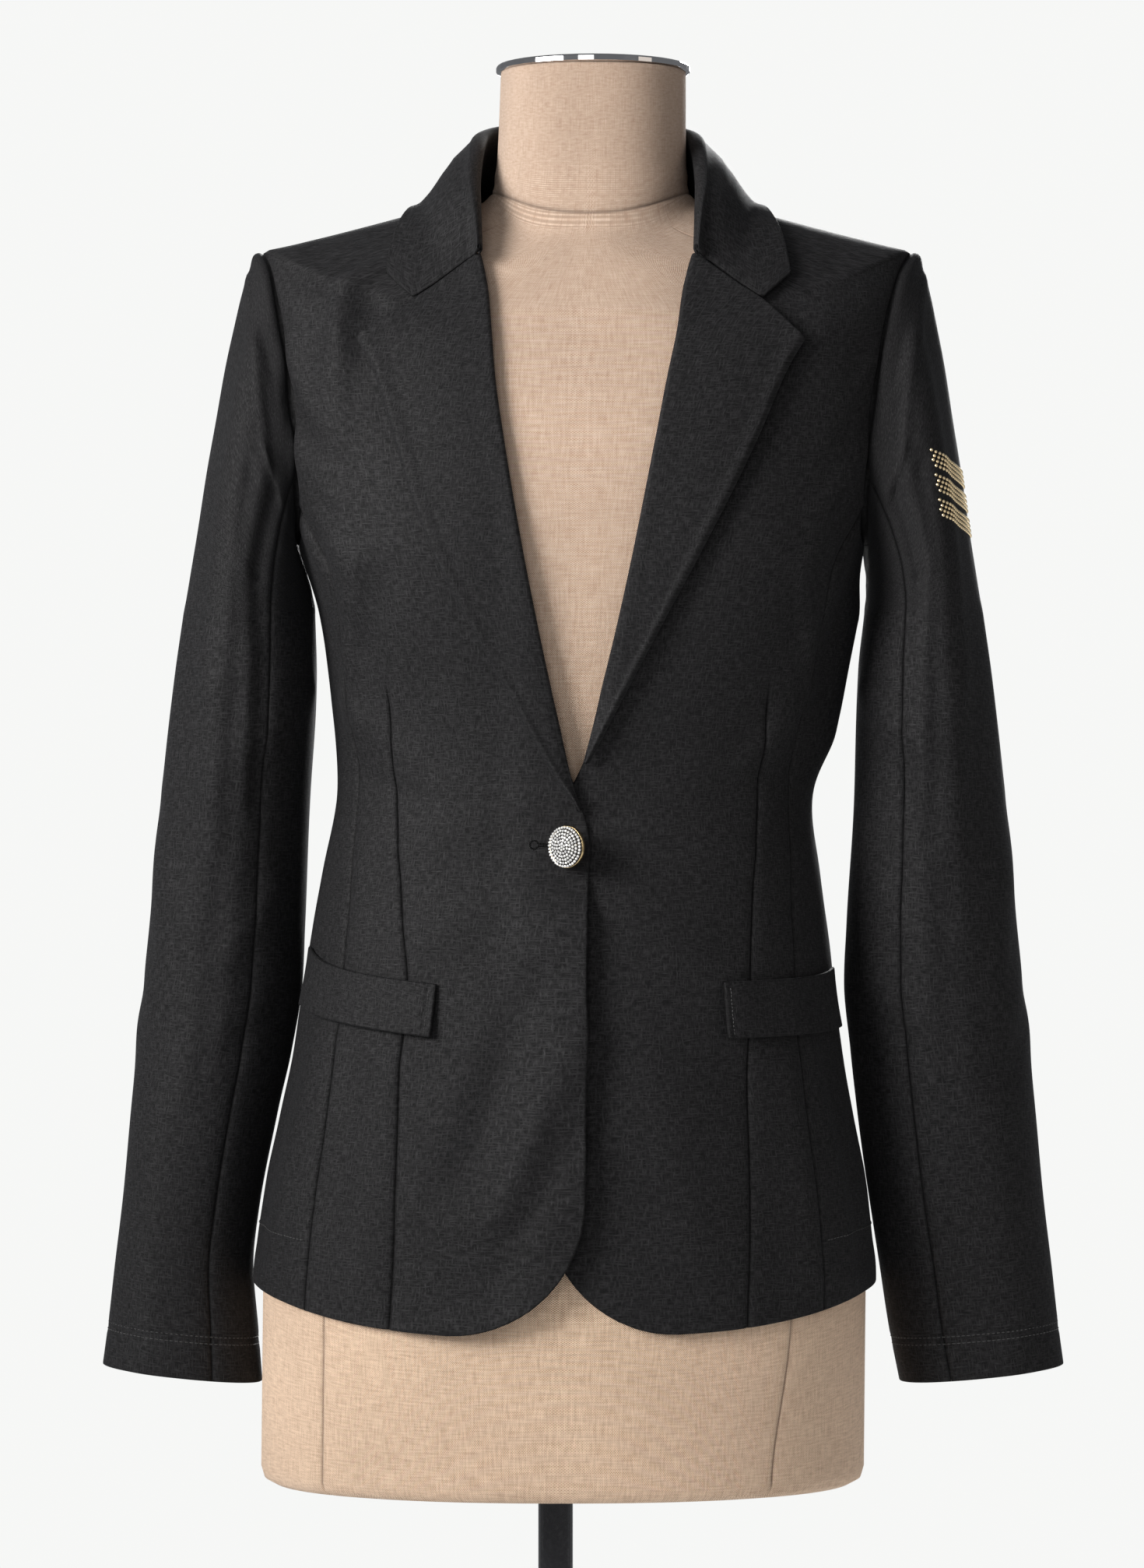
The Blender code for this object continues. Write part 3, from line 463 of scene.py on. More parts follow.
def torso(turn, level, folds=True):
    """Point of the cloth's outer surface at a turn and a level."""
    turn, level = np.broadcast_arrays(turn, level)
    sine, cosine = np.sin(turn), np.cos(turn)
    bend = 2.0 / LOOP_POWER
    facing_front = cosine > 0.0
    depth = np.where(facing_front, read(TORSO, "front", level), read(TORSO, "back", level))
    rise = np.where(facing_front, 0.0, read(TORSO, "back_rise", level))
    side_rise = read(TORSO, "side_rise", level)
    x = read(TORSO, "half", level) * signed_power(sine, bend)
    y = -depth * signed_power(cosine, bend)
    z = level + rise + (side_rise - rise) * np.abs(sine) ** RISE_POWER
    turn_gap = (np.degrees(np.abs(turn)) - BUST_TURN) / BUST_TURN_WIDTH
    rise_gap = (level - BUST_LEVEL) / BUST_RISE_WIDTH
    out = BUST_HEIGHT * np.exp(-(turn_gap**2) - rise_gap**2)
    out = out - RIDGE_DEPTH * ridge(turn, level)
    if folds:
        out = out + folds_relief(BODY_FOLDS, turn, level, FOLD_TURN_REACH, 1.0)
    x = x + sine * out + read(LEAN, "shift", z)
    y = y - cosine * out
    return np.stack([x, y, z], axis=-1)


def torso_normal(turn, level, folds=True):
    """Outward direction of the torso surface."""
    turn_step, level_step = 0.02, 0.002
    across = torso(turn + turn_step, level, folds) - torso(turn - turn_step, level, folds)
    upward = torso(turn, level + level_step, folds) - torso(turn, level - level_step, folds)
    return unit(np.cross(across, upward))


def turn_at(x, level):
    """Turn on the front half at which the torso surface has a given X."""
    share = (x - read(LEAN, "shift", level)) / read(TORSO, "half", level)
    return np.arcsin(signed_power(np.clip(share, -1.0, 1.0), LOOP_POWER / 2.0))


def place_at(x, height):
    """Turn and level on the front half of the torso point with a given X and height."""
    level = np.array(height, dtype=float)
    for _ in range(12):
        turn = turn_at(x, level)
        rise = read(TORSO, "side_rise", level) * np.abs(np.sin(turn)) ** RISE_POWER
        level = level + 0.6 * (height - rise - level)
    return turn_at(x, level), level


def armhole(turn_degrees, clear=1.0):
    """Turn and level of the armhole; 0 is the shoulder, 90 the front, 180 the underarm."""
    angle = np.radians(turn_degrees)
    reach = np.where(np.sin(angle) > 0.0, ARMHOLE_FORWARD, ARMHOLE_BACKWARD)
    bend = 2.0 / ARMHOLE_POWER
    turn = math.pi / 2.0 - clear * reach * signed_power(np.sin(angle), bend)
    level = ARMHOLE_MIDDLE + clear * ARMHOLE_HALF * signed_power(np.cos(angle), bend)
    return turn, level


def edge_x(level, column):
    """X of a front edge, with the round corner at the hem."""
    x = read(EDGES, column, level)
    drop = np.clip((HEM_LEVEL + HEM_CORNER - level) / HEM_CORNER, 0.0, 1.0)
    cut = HEM_CORNER * (1.0 - np.sqrt(1.0 - drop**2))
    return x - cut if column == "over" else x + cut


def overlap_lift(x):
    """Height of the over front above the under front near the middle."""
    return OVERLAP_LIFT * smooth_step((x - OVERLAP_START) / (OVERLAP_FULL - OVERLAP_START))


def sleeve_ring(side, drop, angle):
    """Point of a sleeve below the cap; the angle is 0 outside and 90 degrees in front."""
    outer = read(SLEEVE, "outer", drop)
    inner = read(SLEEVE, WEARER[side] + "_inner", drop)
    middle, half = (outer + inner) / 2.0, (outer - inner) / 2.0
    share = drop / (BICEP_HEIGHT - CUFF_HEIGHT)
    x = SLEEVE_MIDDLE_X + side * (middle + half * np.cos(angle))
    y = read(SLEEVE, "middle_y", drop) - read(SLEEVE, "half_depth", drop) * np.sin(angle)
    z = BICEP_HEIGHT - drop + CUFF_TILT * np.cos(angle) * share**2
    return np.stack(np.broadcast_arrays(x, y, z), axis=-1)


def sleeve_cap(side, angle, share):
    """Point of a sleeve's cap, which turns from the armhole down to the upper arm."""
    turn, level = armhole(np.degrees(angle) % 360.0, ARMHOLE_CLEAR)
    start = torso(side * turn, level)
    seat = torso_normal(side * turn, level)
    top = (1.0 + np.cos(angle)) / 2.0
    start = start + seat * (0.0004 + 0.0006 * top)[..., None]
    end = sleeve_ring(side, np.zeros_like(angle), angle)
    below = sleeve_ring(side, np.full_like(angle, 0.004), angle)
    length = np.linalg.norm(end - start, axis=-1)
    heading = np.stack(
        [side * (0.15 + 0.85 * top), -0.45 * np.sin(angle), -0.15 - 0.85 * (1.0 - top)], axis=-1
    )
    leave = unit(heading) * (HEAD_REACH * top + 0.35 * length * (1.0 - top))[..., None]
    arrive = unit(below - end) * (1.35 * length)[..., None]
    square, cube = share**2, share**3
    return (
        start * (2 * cube - 3 * square + 1)[..., None]
        + leave * (cube - 2 * square + share)[..., None]
        + end * (3 * square - 2 * cube)[..., None]
        + arrive * (cube - square)[..., None]
    )


def sleeve(side, angle, run):
    """Point of a sleeve; run is 0 at the armhole, 1 below the cap and 2 at the cuff."""
    angle, run = np.broadcast_arrays(angle, run)
    cap = sleeve_cap(side, angle, np.clip(run, 0.0, 1.0))
    drop = np.clip(run - 1.0, 0.0, 1.0) * (BICEP_HEIGHT - CUFF_HEIGHT)
    tube = sleeve_ring(side, drop, angle)
    point = np.where((run <= 1.0)[..., None], cap, tube)
    reaches = SLEEVE_TURN_REACH, SLEEVE_RUN_REACH
    relief = folds_relief(SLEEVE_FOLDS, wrapped(angle), run, *reaches)
    relief = relief * smooth_step(run / 0.2)
    outward = np.stack([side * np.cos(angle), -np.sin(angle), np.zeros_like(angle)], axis=-1)
    away = np.clip(1.25 + np.cos(angle), 0.0, 1.0)
    return point + outward * (relief * away)[..., None]


def sleeve_normal(side, angle, run):
    """Outward direction of a sleeve's surface."""
    angle_step, run_step = 0.03, 0.01
    low, high = np.maximum(run - run_step, 0.0), np.minimum(run + run_step, 2.0)
    across = sleeve(side, angle + angle_step, run) - sleeve(side, angle - angle_step, run)
    down = sleeve(side, angle, high) - sleeve(side, angle, low)
    return unit(np.cross(across, down)) * side


def surface_tree(surface):
    """Search tree of a surface round the shoulders and neck."""
    turns = np.radians(np.linspace(-180.0, 180.0, 97))
    levels = np.linspace(1.05, 1.26, 72)
    turn, level = np.meshgrid(turns, levels)
    points = surface(turn, level).reshape(-1, 3)
    faces = grid_faces(np.arange(turn.size).reshape(turn.shape))
    return BVHTree.FromPolygons(points.tolist(), faces.tolist())


def clear_of(tree, points, gap):
    """Move points out until they lie at least a gap off the surface."""
    moved = points.copy()
    for index in np.ndindex(points.shape[:-1]):
        place = Vector(points[index])
        near, normal, _, _ = tree.find_nearest(place)
        height = (place - near).dot(normal)
        if height < gap:
            moved[index] = tuple(near + normal * gap)
    return moved


def form_surface(turns, level):
    """Point of the dress form under the cloth."""
    base = torso(turns, level, False)
    return base - torso_normal(turns, level, False) * read(EASE, "room", level)[..., None]


# Camera
CAMERA_PLACE = (0.0095, -3.0, 0.852)
CAMERA_VIEW_HEIGHT = 0.9063

# Grid lines next to a border, in metres from it
CLOSE = np.array([0.0, 0.00025, 0.0006, 0.0011, 0.0018, 0.0030, 0.0045])
GRID = 0.0034

# Level at which the side panels' seams meet the armhole
CORNER_LEVEL = float(armhole(SIDE_PANEL_TURN)[1])

# Shift of the weave on the cloth's under side
UNDER_SHIFT = 0.31

# Seams and edges
SEAM_DEPTH = 0.0012
SEAM_WIDTH = 0.0010
SEAM_SOFT = 0.0005
SEAM_REACH = 0.0045
SHOULDER_TOP_LEVEL = 1.163
TOUCH = 0.00003
HEAD_ROLL = 0.0022
LAPEL_HOLLOW = 0.0018
EDGE_STAND = 0.0080
EDGE_STAND_TOP = 0.800
EDGE_STAND_REACH = 0.026
HOLLOW_REACH = 0.011
EASED_LEVEL = 1.085
# Painted shade along the cloth's borders: strength and width of the dark line for each kind
SHADE_LINES = {"seam": (0.62, 0.0008), "edge": (0.60, 0.0007), "bare": (0.0, 1.0)}
EDGE_ROUND = 0.00094
ROLL = 0.0026
BREAK_LEVEL = 0.846
PLAIN_EDGES = ("edge", "edge", "edge", "edge")
OUTLINES = {-1: OVER_LAPEL, 1: UNDER_LAPEL}

# Rows of a sleeve's seam allowance under the body: armhole size, depth, cloth left
ALLOWANCE = (
    (1.050, 0.0030, 0.35),
    (1.030, 0.0028, 0.40),
    (1.010, 0.0022, 0.50),
    (1.000, 0.0016, 0.65),
)

# Fullness of the collar's leaf: share of its depth, and metres outwards
COLLAR_FULL = ((0.0, 0.2, 0.4, 0.7, 1.0), (0.0045, 0.0075, 0.0065, 0.0025, 0.0))
COLLAR_ROLL_RISE = 0.0035
COLLAR_STAND = 8

# Pitch of the form's linen
LINEN_PITCH = 0.00105

# Stitches: height over the cloth, and the cuffs' rows from the edge
STITCH_LIFT = 0.0001
STITCH_LENGTH = 0.0029
STITCH_RADIUS = 0.00030
CUFF_ROWS = (0.0215, 0.0255)
HEM_ROW_LEVEL = 0.5895
BUTTONHOLE_LEVEL = BUTTON_HEIGHT + 0.0006

# Studs: rings as shares of radius and rise, and where the three bands lie
STUD_ROWS = ((1.0, 0.0), (1.0, 0.22), (0.84, 0.66), (0.46, 0.93))
STUD_RADIUS = 0.00104
STUD_RISE = 0.0013
STUD_PITCH = 0.00280
STUD_SLOPE = 0.48
STUD_START = math.radians(66.0)
STUD_END = math.radians(-112.0)
STUD_TOP = 1.0412
STUD_BAND_DROP = 0.0131
STUD_ARM_RADIUS = 0.0430

# Button: turn of its face beyond its shank's, and its crystals
FACE_TURN = BUTTON_TURN + 0.15
STONE_ROWS = ((1.0, 0.0), (1.0, 0.30), (0.50, 0.85))
STONE_REACH = BUTTON_RADIUS * 0.965
STONE_RADIUS = 0.00080
STONE_PITCH = 0.00185

# Name, place, aim, size, spread in degrees, power and colour of each light
LIGHTS = (
    ("key", (-2.0, -1.50, 1.85), (-0.02, 0.0, 1.18), 1.5, 48.0, 13.5, (1.0, 0.985, 0.965)),
    ("front", (-0.6, -3.3, 1.6), (0.0, 0.0, 0.95), 1.2, 60.0, 2.1, (1.0, 0.98, 0.95)),
    ("fill", (2.6, -1.4, 1.1), (0.0, 0.0, 0.85), 1.4, 120.0, 2.5, (1.0, 0.87, 0.75)),
    ("back", (0.5, 3.4, 2.0), (0.0, 0.0, 0.9), 1.4, 110.0, 60.0, (1.0, 1.0, 1.0)),
)
FLOOR_HEIGHT = -0.0005

# Darts of the fronts, as X against level
DARTS = table(
    "level right left",
    """
    0.545 -0.0927 0.1082
    0.620 -0.0892 0.1100
    0.691 -0.0871 0.1088
    0.741 -0.0832 0.1100
    0.777 -0.0862 0.1113
    0.850 -0.0905 0.1155
    0.917 -0.0940 0.1190
    """,
)
DART_TOP = 0.915

# Dart: depth and width of its sharp and of its soft groove, strength and width of the painted shade
# along it
DART_SHARP = (0.0016, 0.0009)
DART_SOFT = (0.0005, 0.004)
DART_SHADE = (0.75, 0.0008)

# Softer folds of the body: turns in degrees and levels of both ends, width, height.
SOFT_FOLDS = table(
    "turn_a level_a turn_b level_b width height",
    """
     -40.0 1.130  -50.0 1.040 0.012  0.0018
     -58.0 1.060  -47.0 1.000 0.009  0.0015
     -62.0 1.030  -50.0 0.975 0.010  0.0018
     -60.0 0.990  -52.0 0.930 0.008 -0.0018
     -66.0 0.900  -40.0 0.868 0.009  0.0014
     -60.0 0.858  -34.0 0.842 0.008 -0.0012
     -20.0 0.846  -48.0 0.862 0.010  0.0012
     -12.0 0.835  -40.0 0.815 0.011  0.0014
      -6.0 0.800  -30.0 0.765 0.012  0.0015
      -4.0 0.745  -15.0 0.640 0.010 -0.0024
     -14.0 0.720  -27.0 0.620 0.016  0.0018
     -36.0 0.690  -40.0 0.560 0.014  0.0018
     -44.0 0.680  -46.0 0.560 0.012 -0.0015
     -62.0 0.700  -66.0 0.570 0.014  0.0021
     -76.0 0.700  -80.0 0.575 0.013 -0.0018
      58.0 1.040   48.0 0.985 0.009  0.0015
      62.0 0.985   50.0 0.940 0.009 -0.0015
      64.0 0.905   42.0 0.866 0.009  0.0015
      60.0 0.860   34.0 0.845 0.008 -0.0012
      14.0 0.830   44.0 0.812 0.010  0.0012
      12.0 0.775   34.0 0.740 0.014  0.0012
      14.0 0.700   22.0 0.590 0.014  0.0018
      34.0 0.690   40.0 0.560 0.014 -0.0015
      50.0 0.690   52.0 0.570 0.013  0.0018
      66.0 0.700   70.0 0.570 0.014 -0.0018
     130.0 1.090  150.0 1.020 0.014  0.0021
    -128.0 1.085 -152.0 1.010 0.014  0.0023
     124.0 0.990  150.0 0.930 0.012  0.0021
    -122.0 0.980 -150.0 0.925 0.012  0.0019
     166.0 0.850  122.0 0.868 0.010  0.0018
    -170.0 0.842 -128.0 0.872 0.010  0.0018
     160.0 0.778  126.0 0.795 0.011  0.0015
     150.0 0.700  140.0 0.580 0.016  0.0027
    -150.0 0.690 -142.0 0.575 0.016  0.0027
     168.0 0.700  168.0 0.575 0.014 -0.0018
    -166.0 0.690 -168.0 0.575 0.014 -0.0018
     108.0 0.700  110.0 0.580 0.013  0.0021
    -106.0 0.700 -110.0 0.580 0.013  0.0021
     -52.0 1.150  -45.5 1.125 0.008  0.0022
     -45.5 1.125  -45.0 1.088 0.008  0.0024
     -43.0 1.142  -37.0 1.112 0.009 -0.0018
     -38.0 1.112  -41.5 1.070 0.009 -0.0018
     -64.0 1.076  -46.0 1.044 0.008  0.0018
     -65.0 1.060  -49.0 1.028 0.007 -0.0016
     -67.0 1.044  -46.0 1.011 0.008  0.0018
     -70.0 1.000  -54.0 0.955 0.007  0.0018
     -45.0 0.978  -64.0 0.905 0.007  0.0020
     -38.0 0.970  -57.0 0.900 0.008 -0.0015
       1.5 0.711   -9.5 0.612 0.006  0.0030
      -5.0 0.725  -17.0 0.622 0.012 -0.0018
       2.0 0.660   -6.0 0.600 0.006 -0.0014
       3.0 0.648   -3.0 0.600 0.006  0.0016
     -55.0 0.705  -57.0 0.560 0.009  0.0016
      60.0 0.700   64.0 0.560 0.009  0.0016
      62.0 1.076   47.0 1.046 0.008  0.0014
      66.0 1.040   47.0 1.006 0.008  0.0016
      46.0 0.975   62.0 0.905 0.007  0.0016
    """,
)

# Softer folds of the sleeves: turn and run of both ends, width, height.
SOFT_SLEEVE_FOLDS = table(
    "turn_a run_a turn_b run_b width height",
    """
      48.0 0.30  62.0 1.10 0.007  0.0016
      80.0 0.55  92.0 1.30 0.006 -0.0019
     100.0 1.05  96.0 1.60 0.006  0.0016
      70.0 1.10  76.0 1.62 0.007  0.0014
      20.0 1.00  34.0 1.36 0.010  0.0011
     -20.0 0.70  -8.0 1.22 0.011  0.0012
      36.0 1.42  58.0 1.50 0.007  0.0012
       8.0 1.50  44.0 1.60 0.008 -0.0009
     130.0 1.36  88.0 1.46 0.008  0.0016
     140.0 1.52  96.0 1.58 0.008 -0.0012
     -40.0 1.46 -90.0 1.36 0.010  0.0016
     -30.0 1.60 -80.0 1.56 0.009  0.0012
    -130.0 1.20 -70.0 1.40 0.010  0.0014
     160.0 1.10 118.0 1.16 0.009  0.0019
      60.0 1.66  66.0 1.98 0.010  0.0012
     -50.0 1.70 -46.0 1.98 0.011  0.0012
      56.0 0.26  88.0 0.42 0.006  0.0018
      88.0 0.42  87.5 0.85 0.005  0.0022
      87.5 0.85  99.0 1.24 0.005  0.0018
     101.0 0.42  99.0 0.85 0.005 -0.0030
      99.0 0.85 109.0 1.24 0.005 -0.0022
      10.0 0.20  44.0 0.30 0.008  0.0010
    """,
)


def make_camera():
    """Put the camera where the photograph was taken from."""
    lens = bpy.data.cameras.new("camera")
    lens.sensor_fit = "VERTICAL"
    lens.sensor_height = 36.0
    lens.lens = 36.0 * -CAMERA_PLACE[1] / CAMERA_VIEW_HEIGHT
    lens.clip_end = 30.0
    camera = bpy.data.objects.new("camera", lens)
    camera.location = CAMERA_PLACE
    camera.rotation_euler = (math.pi / 2.0, 0.0, 0.0)
    bpy.context.scene.collection.objects.link(camera)
    bpy.context.scene.camera = camera


class Tree:
    """Short calls for building a material's nodes."""

    def __init__(self, name):
        self.made = bpy.data.materials.new(name)
        self.made.use_nodes = True
        self.nodes = self.made.node_tree.nodes
        self.shader = self.nodes["Principled BSDF"]

    def add(self, kind, settings=None, **links):
        node = self.nodes.new(kind)
        for key, value in (settings or {}).items():
            if hasattr(node, key):
                setattr(node, key, value)
            else:
                node.inputs[key].default_value = value
        for key, value in links.items():
            self.wire(value, node, int(key[1:]) if key[1:].isdigit() else key)
        return node

    def wire(self, value, node, socket):
        if isinstance(value, (int, float, tuple)):
            node.inputs[socket].default_value = value
        else:
            output = value if isinstance(value, bpy.types.NodeSocket) else value.outputs[0]
            self.made.node_tree.links.new(output, node.inputs[socket])

    def math(self, operation, *values):
        links = {"_%d" % at: value for at, value in enumerate(values)}
        return self.add("ShaderNodeMath", {"operation": operation}, **links)

    def attribute(self, name, output):
        return self.add("ShaderNodeAttribute", {"attribute_name": name}).outputs[output]

    def object_place(self):
        return self.add("ShaderNodeTexCoord").outputs["Object"]

    def scaled(self, colour, share):
        made = self.add("ShaderNodeVectorMath", {"operation": "SCALE"}, _0=colour)
        self.wire(share, made, "Scale")
        return made

    def noise(self, vector, scale, detail=2.0, roughness=0.5):
        settings = {"Scale": scale, "Detail": detail, "Roughness": roughness}
        return self.add("ShaderNodeTexNoise", settings, Vector=vector)

    def stretch(self, vector, scale):
        return self.add("ShaderNodeMapping", {"Scale": scale}, Vector=vector)

    def range(self, value, low, high, to_low, to_high):
        links = {"_0": value, "_1": low, "_2": high, "_3": to_low, "_4": to_high}
        return self.add("ShaderNodeMapRange", {}, **links)

    def mix(self, share, first, second):
        made = self.add("ShaderNodeMix", {"data_type": "RGBA"})
        self.wire(share, made, 0)
        self.wire(first, made, 6)
        self.wire(second, made, 7)
        return made.outputs[2]

    def bump(self, height, distance, strength):
        settings = {"Distance": distance, "Strength": strength}
        return self.add("ShaderNodeBump", settings, Height=height)

    def set(self, **values):
        for key, value in values.items():
            self.wire(value, self.shader, key.replace("_", " "))


def suiting_material():
    """Charcoal crepe: a fine crossed weave of uneven yarns with a dull sheen, darkened with painted
    shade along its seams, edges and darts.
    """
    t = Tree("suiting_cloth")
    place = t.attribute("cloth", "Vector")
    weft = t.noise(t.stretch(place, (210.0, 1150.0, 1.0)), 1.0, 3.0, 0.6)
    warp = t.noise(t.stretch(place, (1150.0, 210.0, 1.0)), 1.0, 3.0, 0.6)
    slubs = t.math("MAXIMUM", weft, warp)
    fine = t.noise(place, 1900.0, 2.0)
    wear = t.noise(place, 14.0, 3.0)
    cloudy = t.noise(place, 55.0, 4.0, 0.6)
    height = t.math("MULTIPLY_ADD", fine, 0.35, slubs)
    tone = t.range(slubs, 0.45, 0.74, 0.0, 1.0)
    cloth = t.mix(tone, (0.0042, 0.0042, 0.0046, 1.0), (0.0262, 0.0256, 0.0272, 1.0))
    patch = t.range(t.math("ADD", wear, cloudy), 0.75, 1.25, 0.93, 1.07)
    # Painted shade: the cloth darkens along its seams, edges and darts
    line = t.range(t.attribute("sewn_line", "Fac"), 0.0, 1.0, 1.0, 0.12)
    t.set(Base_Color=t.scaled(cloth, t.math("MULTIPLY", patch, line)))
    t.set(Roughness=t.range(slubs, 0.4, 0.75, 0.78, 0.60), Specular_IOR_Level=0.16)
    t.set(Sheen_Weight=0.025, Sheen_Roughness=0.42, Sheen_Tint=(0.92, 0.94, 1.0, 1.0))
    t.set(Normal=t.bump(height, 0.00022, 0.75))
    return t.made


def linen_material():
    """Pale beige linen with an open, dotted weave and a pinkish cast; painted shade darkens it
    towards the top.
    """
    t = Tree("linen_cloth")
    place = t.attribute("cloth", "Vector")
    split = t.add("ShaderNodeSeparateXYZ", {}, Vector=place)
    count = 2.0 * math.pi / LINEN_PITCH
    weft, warp = (t.math("SINE", t.math("MULTIPLY", split.outputs[at], count)) for at in (0, 1))
    weave = t.math("MULTIPLY", weft, warp)
    slub = t.noise(t.stretch(place, (90.0, 900.0, 1.0)), 1.0, 3.0)
    slub_up = t.noise(t.stretch(place, (900.0, 90.0, 1.0)), 1.0, 3.0)
    slubs = t.math("ADD", slub, slub_up)
    yarn = t.math("MULTIPLY_ADD", slubs, 0.9, t.math("MULTIPLY", weave, 0.80))
    high = t.add("ShaderNodeSeparateXYZ", {}, Vector=t.object_place())
    # Painted shade: the yarn's colour darkens towards the top, where the key light falls strongest
    painted_shade_up = t.range(high.outputs[2], 0.62, 1.0, 0.0, 1.0)
    thread = t.mix(painted_shade_up, (0.890, 0.680, 0.505, 1.0), (0.660, 0.518, 0.412, 1.0))
    cloth = t.mix(t.range(yarn, 0.35, 1.15, 0.0, 1.0), (0.31, 0.175, 0.105, 1.0), thread)
    shade = t.scaled(cloth, t.range(t.noise(place, 11.0, 3.0), 0.3, 0.7, 0.93, 1.06))
    # Darker stitching along the form's seams
    line = t.math("MULTIPLY", t.attribute("sewn_line", "Fac"), 0.75)
    t.set(Base_Color=t.mix(line, shade, (0.17, 0.12, 0.09, 1.0)))
    t.set(Roughness=t.range(yarn, 0.4, 1.3, 0.95, 0.78), Specular_IOR_Level=0.25)
    t.set(Sheen_Weight=0.1, Normal=t.bump(yarn, 0.00025, 0.7))
    return t.made


def metal_material(name, colour, roughness, scratch):
    """Polished or plated metal with slight marks."""
    t = Tree(name)
    place = t.object_place()
    marks = t.noise(t.stretch(place, (300.0, 300.0, 1400.0)), 1.0, 4.0)
    smudge = t.noise(place, 60.0, 3.0)
    deep = tuple(0.82 * part for part in colour) + (1.0,)
    t.set(Base_Color=t.mix(smudge, deep, colour + (1.0,)), Metallic=1.0)
    t.set(Roughness=t.math("MULTIPLY_ADD", marks, scratch, roughness))
    t.set(Normal=t.bump(marks, 0.00005, 0.15))
    return t.made


def crystal_material():
    """Clear cut stones over a silvered back."""
    t = Tree("crystal")
    tone = t.noise(t.object_place(), 620.0, 1.0)
    share = t.range(tone, 0.36, 0.62, 0.0, 1.0)
    t.set(Base_Color=t.mix(share, (0.55, 0.55, 0.56, 1.0), (1.0, 1.0, 0.97, 1.0)))
    t.set(Roughness=t.range(tone, 0.3, 0.7, 0.06, 0.2), Metallic=0.15)
    t.set(Coat_Weight=1.0, Coat_Roughness=0.02)
    return t.made


def lacquer_material():
    """Glossy black lacquer with faint waviness and dust."""
    t = Tree("black_lacquer_gloss")
    place = t.object_place()
    wave = t.noise(place, 25.0, 2.0)
    dust = t.noise(place, 380.0, 4.0, 0.7)
    share = t.range(dust, 0.6, 0.8, 0.0, 1.0)
    t.set(Base_Color=t.mix(share, (0.010, 0.010, 0.012, 1.0), (0.024, 0.024, 0.026, 1.0)))
    t.set(Roughness=t.range(dust, 0.45, 0.8, 0.10, 0.28), Coat_Weight=0.5)
    t.set(Normal=t.bump(wave, 0.0004, 0.12))
    return t.made


def floor_material():
    """Pale matt studio floor."""
    t = Tree("studio_floor")
    tone = t.noise(t.object_place(), 3.0, 4.0)
    t.set(Base_Color=t.mix(tone, (0.78, 0.78, 0.77, 1.0), (0.84, 0.84, 0.83, 1.0)))
    t.set(Roughness=t.range(tone, 0.3, 0.7, 0.55, 0.7))
    t.set(Emission_Color=(0.9, 0.9, 0.89, 1.0), Emission_Strength=0.30)
    return t.made


def thread_material(name, dark, light):
    """Sewing thread with a soft shine."""
    t = Tree(name)
    twist = t.noise(t.object_place(), 2600.0, 1.0)
    t.set(Base_Color=t.mix(twist, (dark, dark, dark, 1.0), (light, light, light, 1.0)))
    t.set(Roughness=t.range(twist, 0.3, 0.7, 0.38, 0.6))
    return t.made


def shares(length, spacing=GRID):
    """Shares of a length for grid lines, closer together near both ends."""
    ends = CLOSE / length
    count = max(int(round(length * (1.0 - 2.0 * ends[-1]) / spacing)), 2)
    inner = np.linspace(ends[-1], 1.0 - ends[-1], count + 1)[1:-1]
    return np.concatenate([ends, inner, 1.0 - ends[::-1]])


def add_object(name, points, faces, finish):
    """Make an object of one material from points and faces."""
    mesh = bpy.data.meshes.new(name)
    mesh.from_pydata(points.tolist(), [], faces)
    mesh.materials.append(finish)
    made = bpy.data.objects.new(name, mesh)
    bpy.context.scene.collection.objects.link(made)
    return made


def add_layers(mesh, cloth, line=None):
    """Give a smooth mesh the cloth's own coordinates and its share of thin dark lines: painted
    shade along the cloth's seams, edges and darts, and the darker stitching of the form's seams.
    """
    layer = mesh.attributes.new("cloth", "FLOAT_VECTOR", "POINT")
    layer.data.foreach_set("vector", cloth.astype(np.float32).ravel())
    if line is not None:
        layer = mesh.attributes.new("sewn_line", "FLOAT", "POINT")
        layer.data.foreach_set("value", line.astype(np.float32).ravel())
    mesh.shade_smooth()


def grid_mesh(name, outer, inner, cloth, finish, line):
    """Make a closed wall between two grids of points."""
    count = line.size
    index = np.arange(count).reshape(line.shape)
    faces = [grid_faces(index)]
    faces.append(count + faces[0][:, ::-1])
    for rim in (index[0], index[-1][::-1], index[:, -1], index[::-1, 0]):
        here, there = rim[:-1], rim[1:]
        faces.append(np.stack([here, count + here, count + there, there], axis=1))
    faces = np.concatenate(faces)
    points = np.concatenate([outer.reshape(-1, 3), inner.reshape(-1, 3)])
    first, second, third, fourth = (points[faces[:, corner]] for corner in range(4))
    volume = (first * np.cross(second, third)).sum() + (first * np.cross(third, fourth)).sum()
    if volume < 0.0:
        faces = faces[:, ::-1]
    made = add_object(name, points, faces.tolist(), finish)
    places = np.concatenate([cloth.reshape(-1, 2)] * 2)
    places = np.concatenate([places, np.repeat([0.0, UNDER_SHIFT], count)[:, None]], axis=1)
    add_layers(made.data, places, np.tile(line.ravel(), 2))
    return made


def border_shade(outer, kinds):
    """Share of the painted shade along a seam or an edge at each grid point."""
    line = np.zeros(outer.shape[:2])
    for distance, kind in zip(borders(outer), kinds):
        strength, width = SHADE_LINES[kind]
        line = np.maximum(line, strength * np.exp(-((distance / width) ** 2)))
    return line


